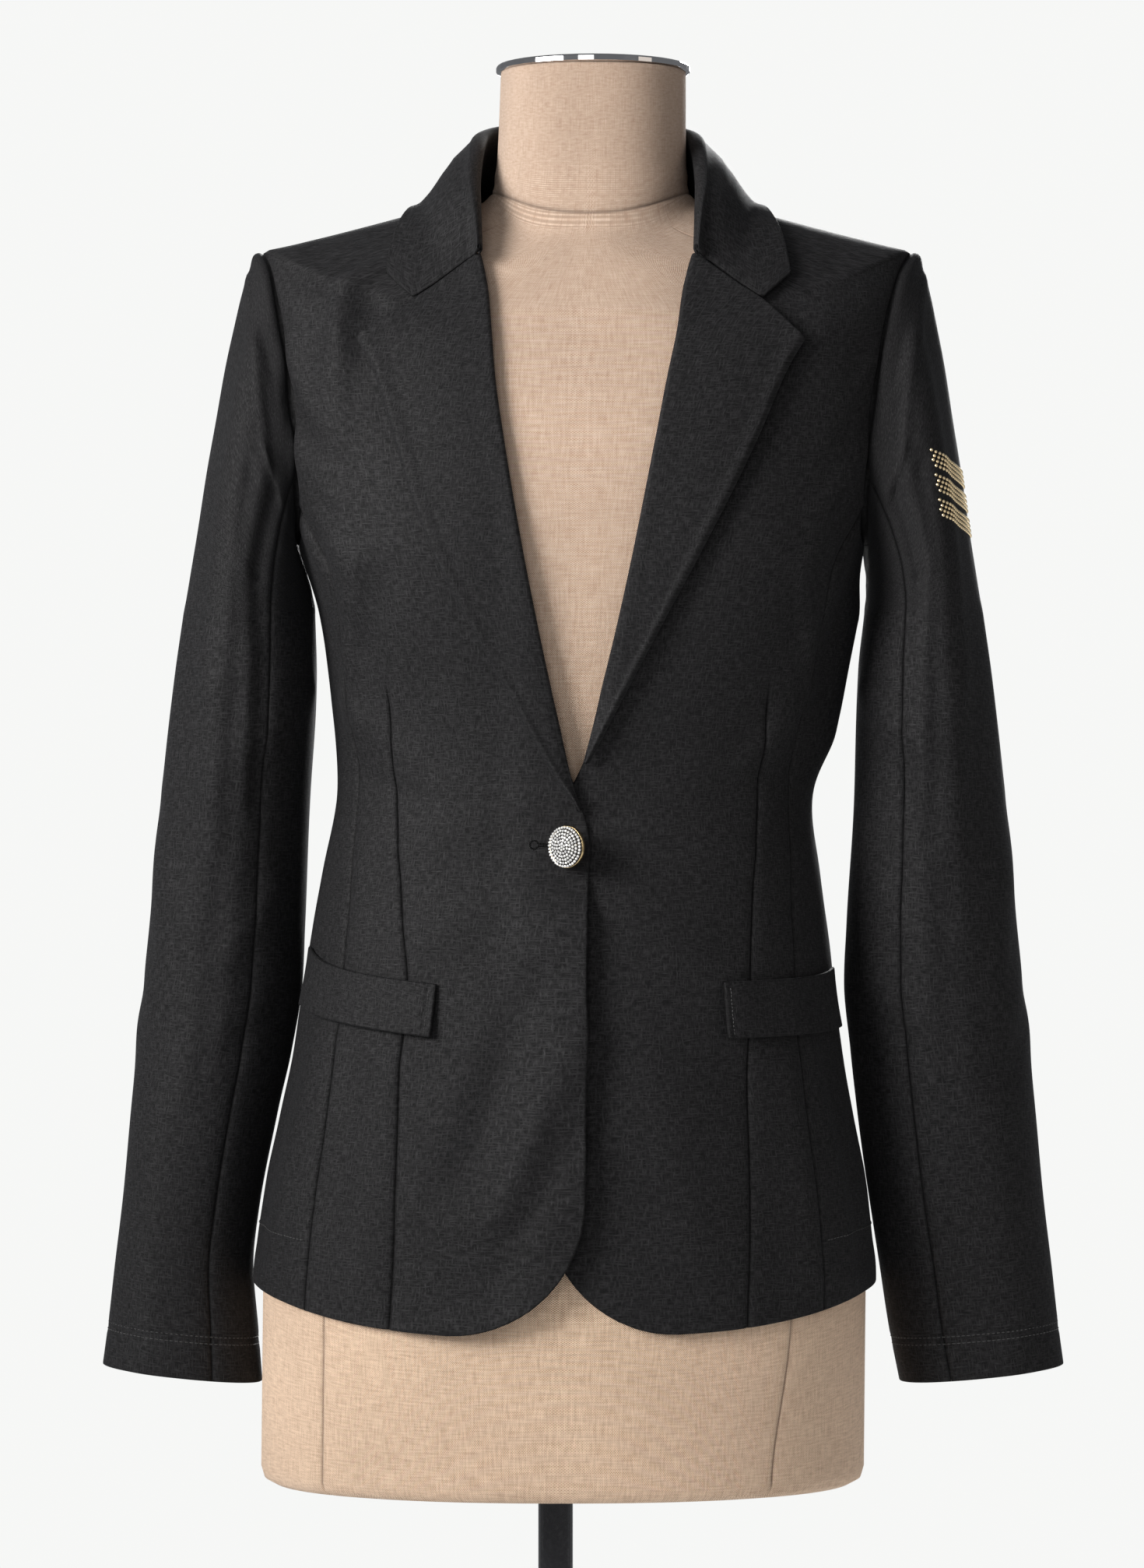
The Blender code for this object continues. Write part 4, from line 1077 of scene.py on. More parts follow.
def borders(points):
    """Distance of each grid point from the first and last column, and first and last row."""
    found = []
    for axis in (1, 0):
        grid = points if axis == 1 else np.swapaxes(points, 0, 1)
        steps = np.linalg.norm(np.diff(grid, axis=1), axis=-1)
        start = np.concatenate([np.zeros((len(grid), 1)), np.cumsum(steps, axis=1)], axis=1)
        end = start[:, -1:] - start
        for distance, column, near in ((start, 0, 6), (end, -1, -7)):
            along = np.gradient(grid[:, column], axis=0)
            inward = grid[:, near] - grid[:, column]
            turn = np.linalg.norm(np.cross(unit(along), unit(inward)), axis=-1)
            distance = distance * np.maximum(turn, 0.1)[:, None]
            found.append(distance if axis == 1 else distance.T)
    return found


def sewn(outer, normal, kinds, thickness=CLOTH, ease=1.0):
    """Outer and inner points of a wall whose borders are sewn or rounded off."""
    inner = outer - normal * thickness
    outer = outer.copy()
    for distance, kind in zip(borders(outer), kinds):
        if kind == "seam":
            dip = SEAM_DEPTH * np.exp(-distance / SEAM_WIDTH)
            dip = dip + SEAM_SOFT * np.exp(-((distance / SEAM_REACH) ** 2))
            outer -= normal * (dip * ease)[..., None]
        elif kind == "edge":
            turn = np.clip(1.0 - distance / EDGE_ROUND, 0.0, 1.0)
            tuck = EDGE_ROUND * (1.0 - np.sqrt(1.0 - turn**2)) * thickness / CLOTH
            outer -= normal * tuck[..., None]
            inner += normal * tuck[..., None]
    return outer, inner


def grid_normal(points):
    """Direction of a grid's surface at each point."""
    return unit(np.cross(np.gradient(points, axis=1), np.gradient(points, axis=0)))


def drape(turn, level):
    """Small relief of the cloth: soft folds and a slight unevenness."""
    relief = folds_relief(SOFT_FOLDS, turn, level, FOLD_TURN_REACH, 1.0)
    u, v = turn * 13.0, level * 100.0
    uneven = np.sin(0.9 * u + 0.35 * v) * np.sin(0.21 * u - 0.55 * v + 1.0)
    uneven = uneven + 0.6 * np.sin(1.7 * u - 0.8 * v + 2.0) * np.sin(0.5 * v + 0.4)
    return relief + 0.00022 * uneven


def seam_turn(level, column):
    """Turn of a long seam, and above it of the armhole and the shoulder seam."""
    reach = ARMHOLE_FORWARD if column == "front_seam" else -ARMHOLE_BACKWARD
    rise = np.clip(np.abs(level - ARMHOLE_MIDDLE) / ARMHOLE_HALF, 0.0, 1.0)
    hole = math.pi / 2.0 - reach * (1.0 - rise**ARMHOLE_POWER) ** (1.0 / ARMHOLE_POWER)
    return np.where(level <= CORNER_LEVEL, np.radians(read(SEAMS, column, level)), hole)


def panel_levels():
    """Levels of the rows of a front or back, from the hem to the neckline."""
    height = CORNER_LEVEL - HEM_LEVEL
    low = HEM_LEVEL + height * shares(height)
    low = low[low < CORNER_LEVEL - 0.002]
    turns = SIDE_PANEL_TURN * (1.0 - np.linspace(0.0, 1.0, 44) ** 0.9)
    hole = armhole(turns)[1]
    top = np.linspace(SHOULDER_TIP_LEVEL, SHOULDER_TOP_LEVEL, 17)[1:]
    return np.concatenate([low, hole, top])


def front_grid(side):
    """Turn and level of a front's grid, whose middle column follows the dart, with the dart's
    groove and its painted shade.
    """
    level = panel_levels()
    pull = side * ROLL * smooth_step((level - BREAK_LEVEL) / 0.03)
    edge = turn_at(edge_x(level, EDGE_COLUMN[side]) + pull, level)
    border = side * (seam_turn(level, "front_seam") - TOUCH / FOLD_TURN_REACH)
    dart = turn_at(read(DARTS, WEARER[side], level), level)
    share = (dart - edge) / (border - edge)
    held = share[np.searchsorted(level, DART_TOP)]
    rise = np.clip((level - DART_TOP) / (SHOULDER_TOP_LEVEL - DART_TOP), 0.0, 1.0)
    share = np.where(level > DART_TOP, held + (0.5 - held) * rise, share)
    dart = edge + (border - edge) * share
    inside, outside = shares(0.100)[None, :], shares(0.060)[None, 1:]
    low = edge[:, None] + (dart - edge)[:, None] * inside
    high = dart[:, None] + (border - dart)[:, None] * outside
    turn = np.concatenate([low, high], axis=1)
    away = np.abs(turn - dart[:, None]) * FOLD_TURN_REACH
    fade = smooth_step((DART_TOP - level) / 0.02)[:, None]
    groove = DART_SHARP[0] * np.exp(-away / DART_SHARP[1])
    groove = -fade * (groove + DART_SOFT[0] * np.exp(-((away / DART_SOFT[1]) ** 2)))
    # Painted shade along the dart's groove
    line = DART_SHADE[0] * fade * np.exp(-((away / DART_SHADE[1]) ** 2))
    return turn, np.broadcast_to(level[:, None], turn.shape), groove, line


def body_piece(name, turn, level, kinds, finish, relief=0.0, lift=0.0, dart=None):
    """Make a panel on the torso surface."""
    normal = torso_normal(turn, level)
    outer = torso(turn, level)
    height = drape(turn, level) + relief + lift
    outer = outer + normal * height[..., None]
    cloth = np.stack([turn * FOLD_TURN_REACH, outer[..., 2]], axis=-1)
    ease = 1.0 - 0.7 * smooth_step((level - EASED_LEVEL) / 0.03)
    line = border_shade(outer, kinds)
    # The dart's painted shade joins that of the borders
    if dart is not None:
        line = np.maximum(line, dart)
    top, under = sewn(outer, normal, kinds, CLOTH, ease)
    return grid_mesh(name, top, under, cloth, finish, line)


def make_front(name, side, finish):
    """Make a front with its dart; the over front stands off low at its edge."""
    turn, level, groove, line = front_grid(side)
    x = torso(turn, level)[..., 0]
    inside = np.abs(turn - turn[:, :1]) * FOLD_TURN_REACH
    lift = 0.0
    if side < 0:
        stand = smooth_step((EDGE_STAND_TOP - level) / 0.03)
        stand = stand * np.exp(-((inside / EDGE_STAND_REACH) ** 1.5))
        lift = overlap_lift(x) + EDGE_STAND * stand
    outline = OUTLINES[side]
    heights = outline["height"]
    beyond = np.maximum(side * (x - read(outline, "edge", level)), 0.0)
    hollow = np.exp(-((beyond / HOLLOW_REACH) ** 2)) * smooth_step(inside / 0.020)
    hollow = hollow * smooth_step((level - (1.02 if side < 0 else heights[0])) / 0.04)
    hollow = hollow * smooth_step((heights[-1] + 0.030 - level) / 0.030)
    kinds = ("edge", "seam", "edge", "seam")
    relief = groove - LAPEL_HOLLOW * hollow
    return body_piece(name, turn, level, kinds, finish, relief, lift, line)


def make_back(name, side, finish):
    """Make one back, up to the middle seam."""
    level = panel_levels()
    gap = TOUCH / FOLD_TURN_REACH
    border = seam_turn(level, "back_seam") + gap
    turn = border[:, None] + (math.pi - gap - border)[:, None] * shares(0.130)[None, :]
    level = np.broadcast_to(level[:, None], turn.shape)
    return body_piece(name, side * turn, level, ("seam", "seam", "edge", "seam"), finish)


def make_side(name, side, finish):
    """Make a side panel, which ends under the arm."""
    way = shares(0.150)
    turns, tops = armhole(SIDE_PANEL_TURN + (360.0 - 2.0 * SIDE_PANEL_TURN) * way)
    share = (turns - turns[0]) / (turns[-1] - turns[0])
    rise = shares(CORNER_LEVEL - HEM_LEVEL)[:, None]
    level = HEM_LEVEL + (tops[None, :] - HEM_LEVEL) * rise
    low = np.radians(read(SEAMS, "front_seam", level))
    high = np.radians(read(SEAMS, "back_seam", level))
    turn = low + (high - low) * share[None, :]
    return body_piece(name, side * turn, level, ("seam", "seam", "edge", "seam"), finish)


def sleeve_drape(angle, run):
    """Small relief of a sleeve."""
    turn = wrapped(angle)
    relief = folds_relief(SOFT_SLEEVE_FOLDS, turn, run, SLEEVE_TURN_REACH, SLEEVE_RUN_REACH)
    u, v = turn * 4.5, run * 36.0
    uneven = np.sin(0.8 * u + 0.3 * v) * np.sin(0.4 * u - 0.45 * v + 0.7)
    relief = relief + 0.00025 * uneven
    return relief * smooth_step(run / 0.2)


def armhole_relief(side, angle):
    """Relief of the body's cloth at the armhole."""
    turn, level = armhole(np.degrees(angle) % 360.0, ARMHOLE_CLEAR)
    return drape(side * turn, level)


def tucked_rows(side, angles):
    """Outer and inner points of the sleeve's seam allowance under the body."""
    outer, inner = [], []
    for size, depth, left in ALLOWANCE:
        turn, level = armhole(np.degrees(angles) % 360.0, size)
        seat = torso_normal(side * turn, level)
        place = torso(side * turn, level) - seat * depth
        outer.append(place)
        inner.append(place - seat * CLOTH * left)
    return outer, inner


def make_sleeve_half(name, side, first, last, finish):
    """Make the top or the under sleeve between two turns round the arm."""
    gap = 0.04
    angles = np.radians(first + gap + (last - first - 2.0 * gap) * shares(0.170))
    cap = shares(0.150)
    cap = cap[cap < 0.985]
    drop = shares(BICEP_HEIGHT - CUFF_HEIGHT)
    runs = np.concatenate([cap, 1.0 + drop[(drop == 0.0) | (drop > 0.006)]])
    angle, run = np.meshgrid(angles, runs)
    normal = sleeve_normal(side, angle, run)
    height = sleeve_drape(angle, run)
    height = height + armhole_relief(side, angle) * (1.0 - smooth_step(run / 0.2))
    head = np.clip(np.cos(angle), 0.0, 1.0) ** 1.5
    height = height + HEAD_ROLL * head * np.exp(-(((run - 0.07) / 0.07) ** 2))
    outer = sleeve(side, angle, run) + normal * height[..., None]
    hem = borders(outer)[3]
    for line in CUFF_ROWS:
        dip = 0.00035 * np.exp(-(((hem - line) / 0.0009) ** 2))
        outer = outer - normal * dip[..., None]
    ease = 1.0 - 0.7 * head * (1.0 - smooth_step(run / 0.3))
    kinds = ("seam", "seam", "seam", "edge")
    top, under = sewn(outer, normal, kinds, CLOTH, ease)
    tucked_top, tucked_under = tucked_rows(side, angles)
    top, under = np.concatenate([tucked_top, top]), np.concatenate([tucked_under, under])
    tucked = (len(ALLOWANCE), len(angles))
    run = np.concatenate([np.full(tucked, -0.01), run])
    around = np.broadcast_to(angles[None, :], run.shape) * SLEEVE_TURN_REACH
    cloth = np.stack([around, run * SLEEVE_RUN_REACH], axis=-1)
    # Painted shade along the seams and the cuff's edge, at its most on the allowance tucked under
    # the body
    line = border_shade(outer, kinds)
    line = np.concatenate([np.full(tucked, line.max()), line])
    return grid_mesh(name, top, under, cloth, finish, line)


def lapel_places(side, way, flat):
    """X and height of a lapel's points, from the roll line to its outer edge."""
    outline = OUTLINES[side]
    heights = outline["height"]
    edge_level = heights[0] + (heights[-1] - heights[0]) * way
    edge = read(outline, "edge", edge_level)
    roll_top = GORGE_START[1] - SEAM_GAP
    roll_level = edge_level + (roll_top - heights[-1]) * way**3
    roll = read(EDGES, EDGE_COLUMN[side], roll_level) - side * 0.0010 + side * ROLL
    x = roll[:, None] + (edge - roll)[:, None] * flat[None, :]
    level = roll_level[:, None] + (edge_level - roll_level)[:, None] * flat[None, :]
    notch_x = COLLAR_MIDDLE_X + side * GORGE_NOTCH[0]
    notch_level = GORGE_NOTCH[1] - SEAM_GAP
    to_notch = np.clip(flat / NOTCH_SHARE, 0.0, 1.0)
    past = np.clip((flat - NOTCH_SHARE) / (1.0 - NOTCH_SHARE), 0.0, 1.0)
    top_x = roll[-1] + (notch_x - roll[-1]) * to_notch + (edge[-1] - notch_x) * past
    top_level = roll_top + (notch_level - roll_top) * to_notch
    top_level = top_level + (edge_level[-1] - notch_level) * past
    pull = (way**4)[:, None]
    x = x + (top_x - x[-1])[None, :] * pull
    level = level + (top_level - level[-1])[None, :] * pull
    return x, level


def lapel_rise(side, x, way, flat, lift):
    """Height of a lapel's outer surface over the front."""
    belly = LAPEL_BELLY * np.sin(math.pi * flat) ** 0.7
    top_lift = LAPEL_TOP_LIFT * way[:, None] ** 2
    width = x[:, -1:] - x[:, :1]
    from_edge = (1.0 - flat)[None, :] * np.abs(width)
    bulk = 0.0014 * np.exp(-(((from_edge - 0.0034) / 0.0022) ** 2))
    bulk = bulk - 0.0016 * np.exp(-((from_edge / 0.0017) ** 2))
    bulk = bulk + (0.0016 + 0.0006 * side) * np.exp(-from_edge / 0.012)
    rise = lift + LAPEL_SEAT + belly[None, :] * 0.5 + top_lift + bulk + CLOTH
    spread = np.exp(-((flat[None, :] * width) ** 2) / 0.006**2)
    return rise + 0.0009 * spread * smooth_step(way / 0.2)[:, None]


def lapel_roll(side, base, normal, height, radius):
    """Half turn of cloth from inside the front out to the lapel's first column."""
    turns = np.radians(np.linspace(-90.0, 90.0, 15))[:-1]
    along = unit(np.gradient(base, axis=0))
    toward = unit(np.cross(along, normal)) * -side
    toward *= np.sign((toward[:, :1] * -side))
    middle = base + normal * (height - radius)
    sine, cosine = np.sin(turns)[None, :, None], np.cos(turns)[None, :, None]
    roll = normal[:, None] * sine + toward[:, None] * cosine
    return middle[:, None] + radius[..., None] * roll


def make_lapel(name, side, finish):
    """Make a lapel that rolls back from inside the front and lies on it."""
    way = shares(0.300)
    flat = np.unique(np.concatenate([shares(0.060)[6:], [NOTCH_SHARE]]))
    flat = np.concatenate([[0.0], flat])
    x, height = lapel_places(side, way, flat)
    turn, level = place_at(x, height)
    base, normal = torso(turn, level), torso_normal(turn, level)
    lift = overlap_lift(base[..., 0]) if side < 0 else np.zeros(turn.shape)
    rise = lapel_rise(side, x, way, flat, lift)
    radius = ROLL * (0.35 + 0.65 * smooth_step(way / 0.2))[:, None]
    roll = lapel_roll(side, base[:, 0], normal[:, 0], rise[:, :1], radius)
    outer = np.concatenate([roll, base + normal * rise[..., None]], axis=1)
    facing = grid_normal(outer)
    facing *= np.sign((facing[:, -3:] * normal[:, -3:]).sum(axis=-1).mean())
    cloth = np.stack([outer[..., 0] - outer[..., 1], outer[..., 2]], axis=-1)
    top_side, under = sewn(outer, facing, ("seam", "edge", "edge", "edge"), CLOTH)
    line = border_shade(outer, ("edge", "bare", "bare", "edge"))
    return grid_mesh(name, top_side, under, cloth, finish, line)


def collar_rows(side, stations, stand_shares, fold_turns, leaf_shares):
    """Stand, fold and leaf of one half of the collar, a row for each station."""
    up = np.array([0.0, 0.0, 1.0])
    centre = np.array([COLLAR_MIDDLE_X, 0.0, 0.0])
    drop, rows = up * COLLAR_ROLL_RISE, []
    for station in stations:
        place = {key: float(read(COLLAR, key, station)) for key in COLLAR}
        fold, edge, seam = (
            np.array([place[key + axis] for axis in ("_x", "_y", "_z")]) * (side, 1.0, 1.0) + centre
            for key in ("fold", "edge", "seam")
        )
        away = unit(np.array([side * place["fold_x"], place["fold_y"], 0.0]))
        stand_top = fold - away * ROLL_RADIUS - drop
        leaf_top = fold + away * ROLL_RADIUS - drop
        foot = seam - away * CLOTH
        row = [foot + (stand_top - foot) * share for share in stand_shares]
        middle = fold - drop
        for turn in fold_turns:
            rise = drop * math.sin(turn)
            row.append(middle - away * ROLL_RADIUS * math.cos(turn) + rise)
        rows.append(row + [leaf_top + (edge - leaf_top) * share for share in leaf_shares])
    return np.array(rows)


def collar_half(side, stations, trees):
    """Outer points of one half of the collar, clear of the body and of the form."""
    tree, form_tree = trees
    stand_shares = np.linspace(0.0, 1.0, COLLAR_STAND + 1)[:-1]
    fold_turns = np.radians(np.linspace(0.0, 180.0, 13))[:-1]
    leaf_shares = np.unique(np.concatenate([shares(0.055)[6:], [0.0]]))
    outer = collar_rows(side, stations, stand_shares, fold_turns, leaf_shares)
    leaf_start = COLLAR_STAND + len(fold_turns)
    outer[:, :COLLAR_STAND] = clear_of(form_tree, outer[:, :COLLAR_STAND], STAND_CLEAR)
    leaf = outer[:, leaf_start:]
    keys = np.array([0.0, 0.3, NOTCH_SHARE, 0.8, 1.0])
    gorge_x = np.array([GORGE_START[0] + 0.0030, 0.0805, GORGE_NOTCH[0], 0.1080, COLLAR_TIP[0]])
    start, notch, tip = GORGE_START[1] - 0.0020, GORGE_NOTCH[1], COLLAR_TIP[1]
    gorge_level = np.array([start, (start + notch) / 2.0 + 0.001, notch, (notch + tip) / 2.0, tip])
    gorge_turn, gorge_level = place_at(
        COLLAR_MIDDLE_X + side * np.interp(leaf_shares, keys, gorge_x),
        np.interp(leaf_shares, keys, gorge_level) + LAY_GAP,
    )
    lie = LAPEL_SEAT + LAPEL_TOP_LIFT + CLOTH + LAPEL_BELLY * 0.3
    gorge = torso(gorge_turn, gorge_level) + torso_normal(gorge_turn, gorge_level) * lie
    fade = np.clip(1.0 - stations / 0.25, 0.0, 1.0) ** 1.5
    leaf = leaf + (gorge - leaf[0])[None] * fade[:, None, None]
    weight = smooth_step(stations / 0.30) * (1.0 - 0.5 * smooth_step((stations - 0.75) / 0.25))
    fold_x, fold_y = (read(COLLAR, column, stations) for column in ("fold_x", "fold_y"))
    sideways = np.stack([side * fold_x, fold_y, np.zeros(len(stations))], axis=-1)
    sideways = unit(sideways) * weight[:, None]
    full = np.interp(leaf_shares, *COLLAR_FULL)
    leaf = leaf + sideways[:, None, :] * full[None, :, None]
    turned = (1.0 - np.cos(fold_turns)) / 2.0 * COLLAR_FULL[1][0]
    outer[:, COLLAR_STAND:leaf_start] += sideways[:, None, :] * turned[None, :, None]
    outer[:, leaf_start:] = clear_of(tree, leaf, lie)
    return outer


def make_collar(name, finish):
    """Make the collar: a stand round the neck, folded over into a leaf with two tips."""
    trees = surface_tree(torso), surface_tree(form_surface)
    stations = shares(0.24, 0.0045)
    stations = stations[stations < 0.98]
    stations = np.append(stations, 1.0)
    halves = [collar_half(side, stations, trees) for side in (-1, 1)]
    outer = np.concatenate([halves[0], halves[1][-2::-1]])
    for _ in range(2):
        outer[1:-1] = outer[1:-1] * 0.5 + (outer[:-2] + outer[2:]) * 0.25
    facing = grid_normal(outer)
    if facing[:, COLLAR_STAND + 4 : COLLAR_STAND + 8, 2].mean() < 0.0:
        facing = -facing
    along = lengths(outer[:, 20])
    across = borders(outer)[0]
    cloth = np.stack([across, np.broadcast_to(along[:, None], across.shape)], axis=-1)
    top, under = sewn(outer, facing, PLAIN_EDGES, CLOTH * 0.95)
    return grid_mesh(name, top, under, cloth, finish, border_shade(outer, PLAIN_EDGES))


def pocket_surface(row, across, up):
    """Points and outward directions of a pocket flap over the body."""
    flap = {column: POCKETS[column][row] for column in POCKETS}
    turn, low, high = (
        flap["start_" + part] + (flap["end_" + part] - flap["start_" + part]) * across
        for part in ("turn", "low", "high")
    )
    level = low + (high - low) * up
    corner = 0.0065 if flap["side"] < 0 else 0.0035
    level = level + corner * across**4 * (0.35 + 0.65 * up)
    turn = np.radians(turn) * flap["side"]
    normal = torso_normal(turn, level)
    stand = 2.0 * FLAP_STAND * (1.0 - up) ** 1.5 * (1.0 - 0.7 * across**3)
    stand = LAY_GAP + stand + FLAP_WALL + np.maximum(drape(turn, level), 0.0)
    end = across * FLAP_LENGTH
    stitched = 0.0007 * np.exp(-(((end - FLAP_STITCHES) / 0.0011) ** 2))
    rows = (up - 0.5) * 0.030
    pucker = 0.0003 * np.sin(rows * 900.0) * np.exp(-end / 0.012)
    stand = stand - stitched + pucker + 0.0004 * np.sin(across * 17.0 + 0.6) * np.sin(up * math.pi)
    return torso(turn, level) + normal * stand[..., None], normal


def make_pocket(name, row, finish):
    """Make a pocket flap that stands a little proud, stitched down near its front end."""
    across, up = np.meshgrid(shares(0.150, 0.0022), shares(0.032, 0.0020))
    outer, normal = pocket_surface(row, across, up)
    cloth = np.stack([across * FLAP_LENGTH, up * 0.031], axis=-1)
    top, under = sewn(outer, normal, PLAIN_EDGES, FLAP_WALL * 0.92)
    return grid_mesh(name, top, under, cloth, finish, border_shade(outer, PLAIN_EDGES))


def form_dips(turn, level, lean, heights):
    """Depth of the form's sunk seams at each point."""
    dip = np.zeros(turn.shape)
    fade = smooth_step((1.165 - level) / 0.01)
    for seam in FORM_SEAMS:
        gap = turn - np.radians(seam) - (lean if seam == LEANING_SEAM else 0.0)
        reach = np.abs(wrapped(gap)) * FORM_SEAM_RADIUS
        dip = np.maximum(dip, FORM_SEAM_DEPTH * np.exp(-reach / FORM_SEAM_WIDTH) * fade)
    neck_seam = NECK_SEAM_LEVEL + NECK_SEAM_RISE * np.sin(turn) ** 2
    reach = np.abs(heights - neck_seam)
    return np.maximum(dip, NECK_SEAM_DEPTH * np.exp(-reach / FORM_SEAM_WIDTH))


def make_form(name, finish):
    """Make the dress form's linen cover, closed at the foot, with its seams."""
    turns = np.linspace(-180.0, 180.0, 241)[:-1]
    steps = (-0.7, -0.35, -0.15, 0.0, 0.15, 0.35, 0.7)
    near = [seam + step for seam in FORM_SEAMS for step in steps]
    turns = np.unique(np.concatenate([turns, [turn for turn in near if -180.0 < turn < 179.9]]))
    spans = (0.458, 1.10, 110), (1.104, 1.160, 24), (1.161, 1.185, 49)
    spans += ((1.188, NECK_TOP_LEVEL, 30),)
    levels = np.concatenate([np.linspace(*span) for span in spans])
    turn, level = np.meshgrid(np.radians(turns), levels)
    lean = SEAM_LEAN * smooth_step((HEM_LEVEL - level) / 0.09)
    turn = turn + lean * np.exp(-(((turn - np.radians(LEANING_SEAM)) / 0.16) ** 2))
    facing = torso_normal(turn, level, False)
    outer = form_surface(turn, level) - facing * 0.0001
    dip = form_dips(turn, level, lean, outer[..., 2])
    outer = outer - facing * dip[..., None]
    foot, foot_rows = outer[0], []
    middle = foot.mean(axis=0)
    for share, height in ((0.05, 0.0), (0.5, 0.0), (0.90, 0.0), (0.96, 0.0012), (0.99, 0.0040)):
        ring = middle + (foot - middle) * share
        ring[:, 2] = FORM_BOTTOM + height
        foot_rows.append(ring)
    top = outer[-1]
    centre = top.mean(axis=0)
    lid = [centre + (top - centre) * share for share in (0.97, 0.5, 0.05)]
    outer = np.concatenate([foot_rows, outer, lid])
    added = ((len(foot_rows), len(lid)), (0, 0))
    line = np.pad(np.clip(dip / FORM_SEAM_DEPTH, 0.0, 1.0), added)
    around = np.pad(turn, added, "edge") * FORM_WEAVE_RADIUS
    up = lengths(outer[:, 0])
    cloth = np.stack([around, np.broadcast_to(up[:, None], around.shape)], axis=-1)
    return solid_rings(name, outer, cloth, finish, line)


def solid_rings(name, rings, cloth, finish, line=None):
    """Make one closed solid through rings of points."""
    rows, columns = rings.shape[:2]
    count = rows * columns
    faces = ring_faces(rows, columns).tolist()
    faces += [list(range(columns))[::-1], list(range(count - columns, count))]
    made = add_object(name, rings.reshape(-1, 3), faces, finish)
    work = bmesh.new()
    work.from_mesh(made.data)
    bmesh.ops.recalc_face_normals(work, faces=work.faces)
    work.to_mesh(made.data)
    work.free()
    places = np.concatenate([cloth.reshape(-1, 2), np.zeros((count, 1))], axis=1)
    add_layers(made.data, places, line)
    return made


def joined(name, parts, finish):
    """Make one object from (points, faces) parts."""
    points, faces, start = [], [], 0
    for part_points, part_faces in parts:
        points.append(part_points)
        faces += [[start + index for index in face] for face in part_faces]
        start += len(part_points)
    return add_object(name, np.concatenate(points), faces, finish)


def dome(place, normal, radius, rise, sides, rows, turn=0.0):
    """Closed dome of rings on a base, as points and faces."""
    first = unit(np.cross(normal, (0.0, 0.0, 1.0) if abs(normal[2]) < 0.9 else (1.0, 0.0, 0.0)))
    second = np.cross(normal, first)
    angles = turn + np.arange(sides) * 2.0 * math.pi / sides
    ring = first * np.cos(angles)[:, None] + second * np.sin(angles)[:, None]
    points = [place + ring * radius * share + normal * rise * height for share, height in rows]
    points = np.concatenate(points + [[place + normal * rise * rows[-1][1]]])
    faces = [list(range(sides))[::-1]] + ring_faces(len(rows), sides).tolist()
    last = (len(rows) - 1) * sides
    faces += [[last + at, last + (at + 1) % sides, len(points) - 1] for at in range(sides)]
    return points, faces


def make_studs(name, side, finish):
    """Make three sloping bands of small domed studs round the outside of the upper sleeve."""
    places = []
    for band in range(3):
        for row in range(4):
            start = STUD_START + math.radians(1.0) * (band * 4 + row) / 4.0
            height = STUD_TOP - band * STUD_BAND_DROP - row * STUD_PITCH * 0.93
            for count in range(50):
                step = (count + 0.5 * (row % 2)) * STUD_PITCH * 0.94 / STUD_ARM_RADIUS
                if start - step > STUD_END:
                    places.append((start - step, height))
    angles, heights = np.array(places).T
    first_x = float(sleeve(side, np.array([STUD_START]), np.array([0.58]))[0, 0])
    low, high = np.zeros(len(places)), np.full(len(places), 1.2)
    for _ in range(24):
        run = (low + high) / 2.0
        place = sleeve(side, angles, run)
        over = place[..., 2] + STUD_SLOPE * side * (place[..., 0] - first_x) > heights
        low, high = np.where(over, run, low), np.where(over, high, run)
    normal = sleeve_normal(side, angles, run)
    place = sleeve(side, angles, run) + normal * sleeve_drape(angles, run)[:, None]
    studs = [
        dome(at - out * 0.0003, out, STUD_RADIUS, STUD_RISE, 8, STUD_ROWS)
        for at, out in zip(place, normal)
    ]
    made = joined(name, studs, finish)
    made.data.shade_smooth()
    return made


def button_frame():
    """Middle of the button's dome, its outward and sideways directions, and up."""
    place = turn_at(BUTTON_X, BUTTON_HEIGHT)
    seat = torso(place, BUTTON_HEIGHT)
    front = seat[1] - OVERLAP_LIFT - BUTTON_STAND_OFF
    outward = np.array([-math.sin(FACE_TURN), -math.cos(FACE_TURN), 0.0])
    across = np.array([math.cos(FACE_TURN), -math.sin(FACE_TURN), 0.0])
    return np.array([BUTTON_X, front, BUTTON_HEIGHT]), outward, across, np.array([0.0, 0.0, 1.0])


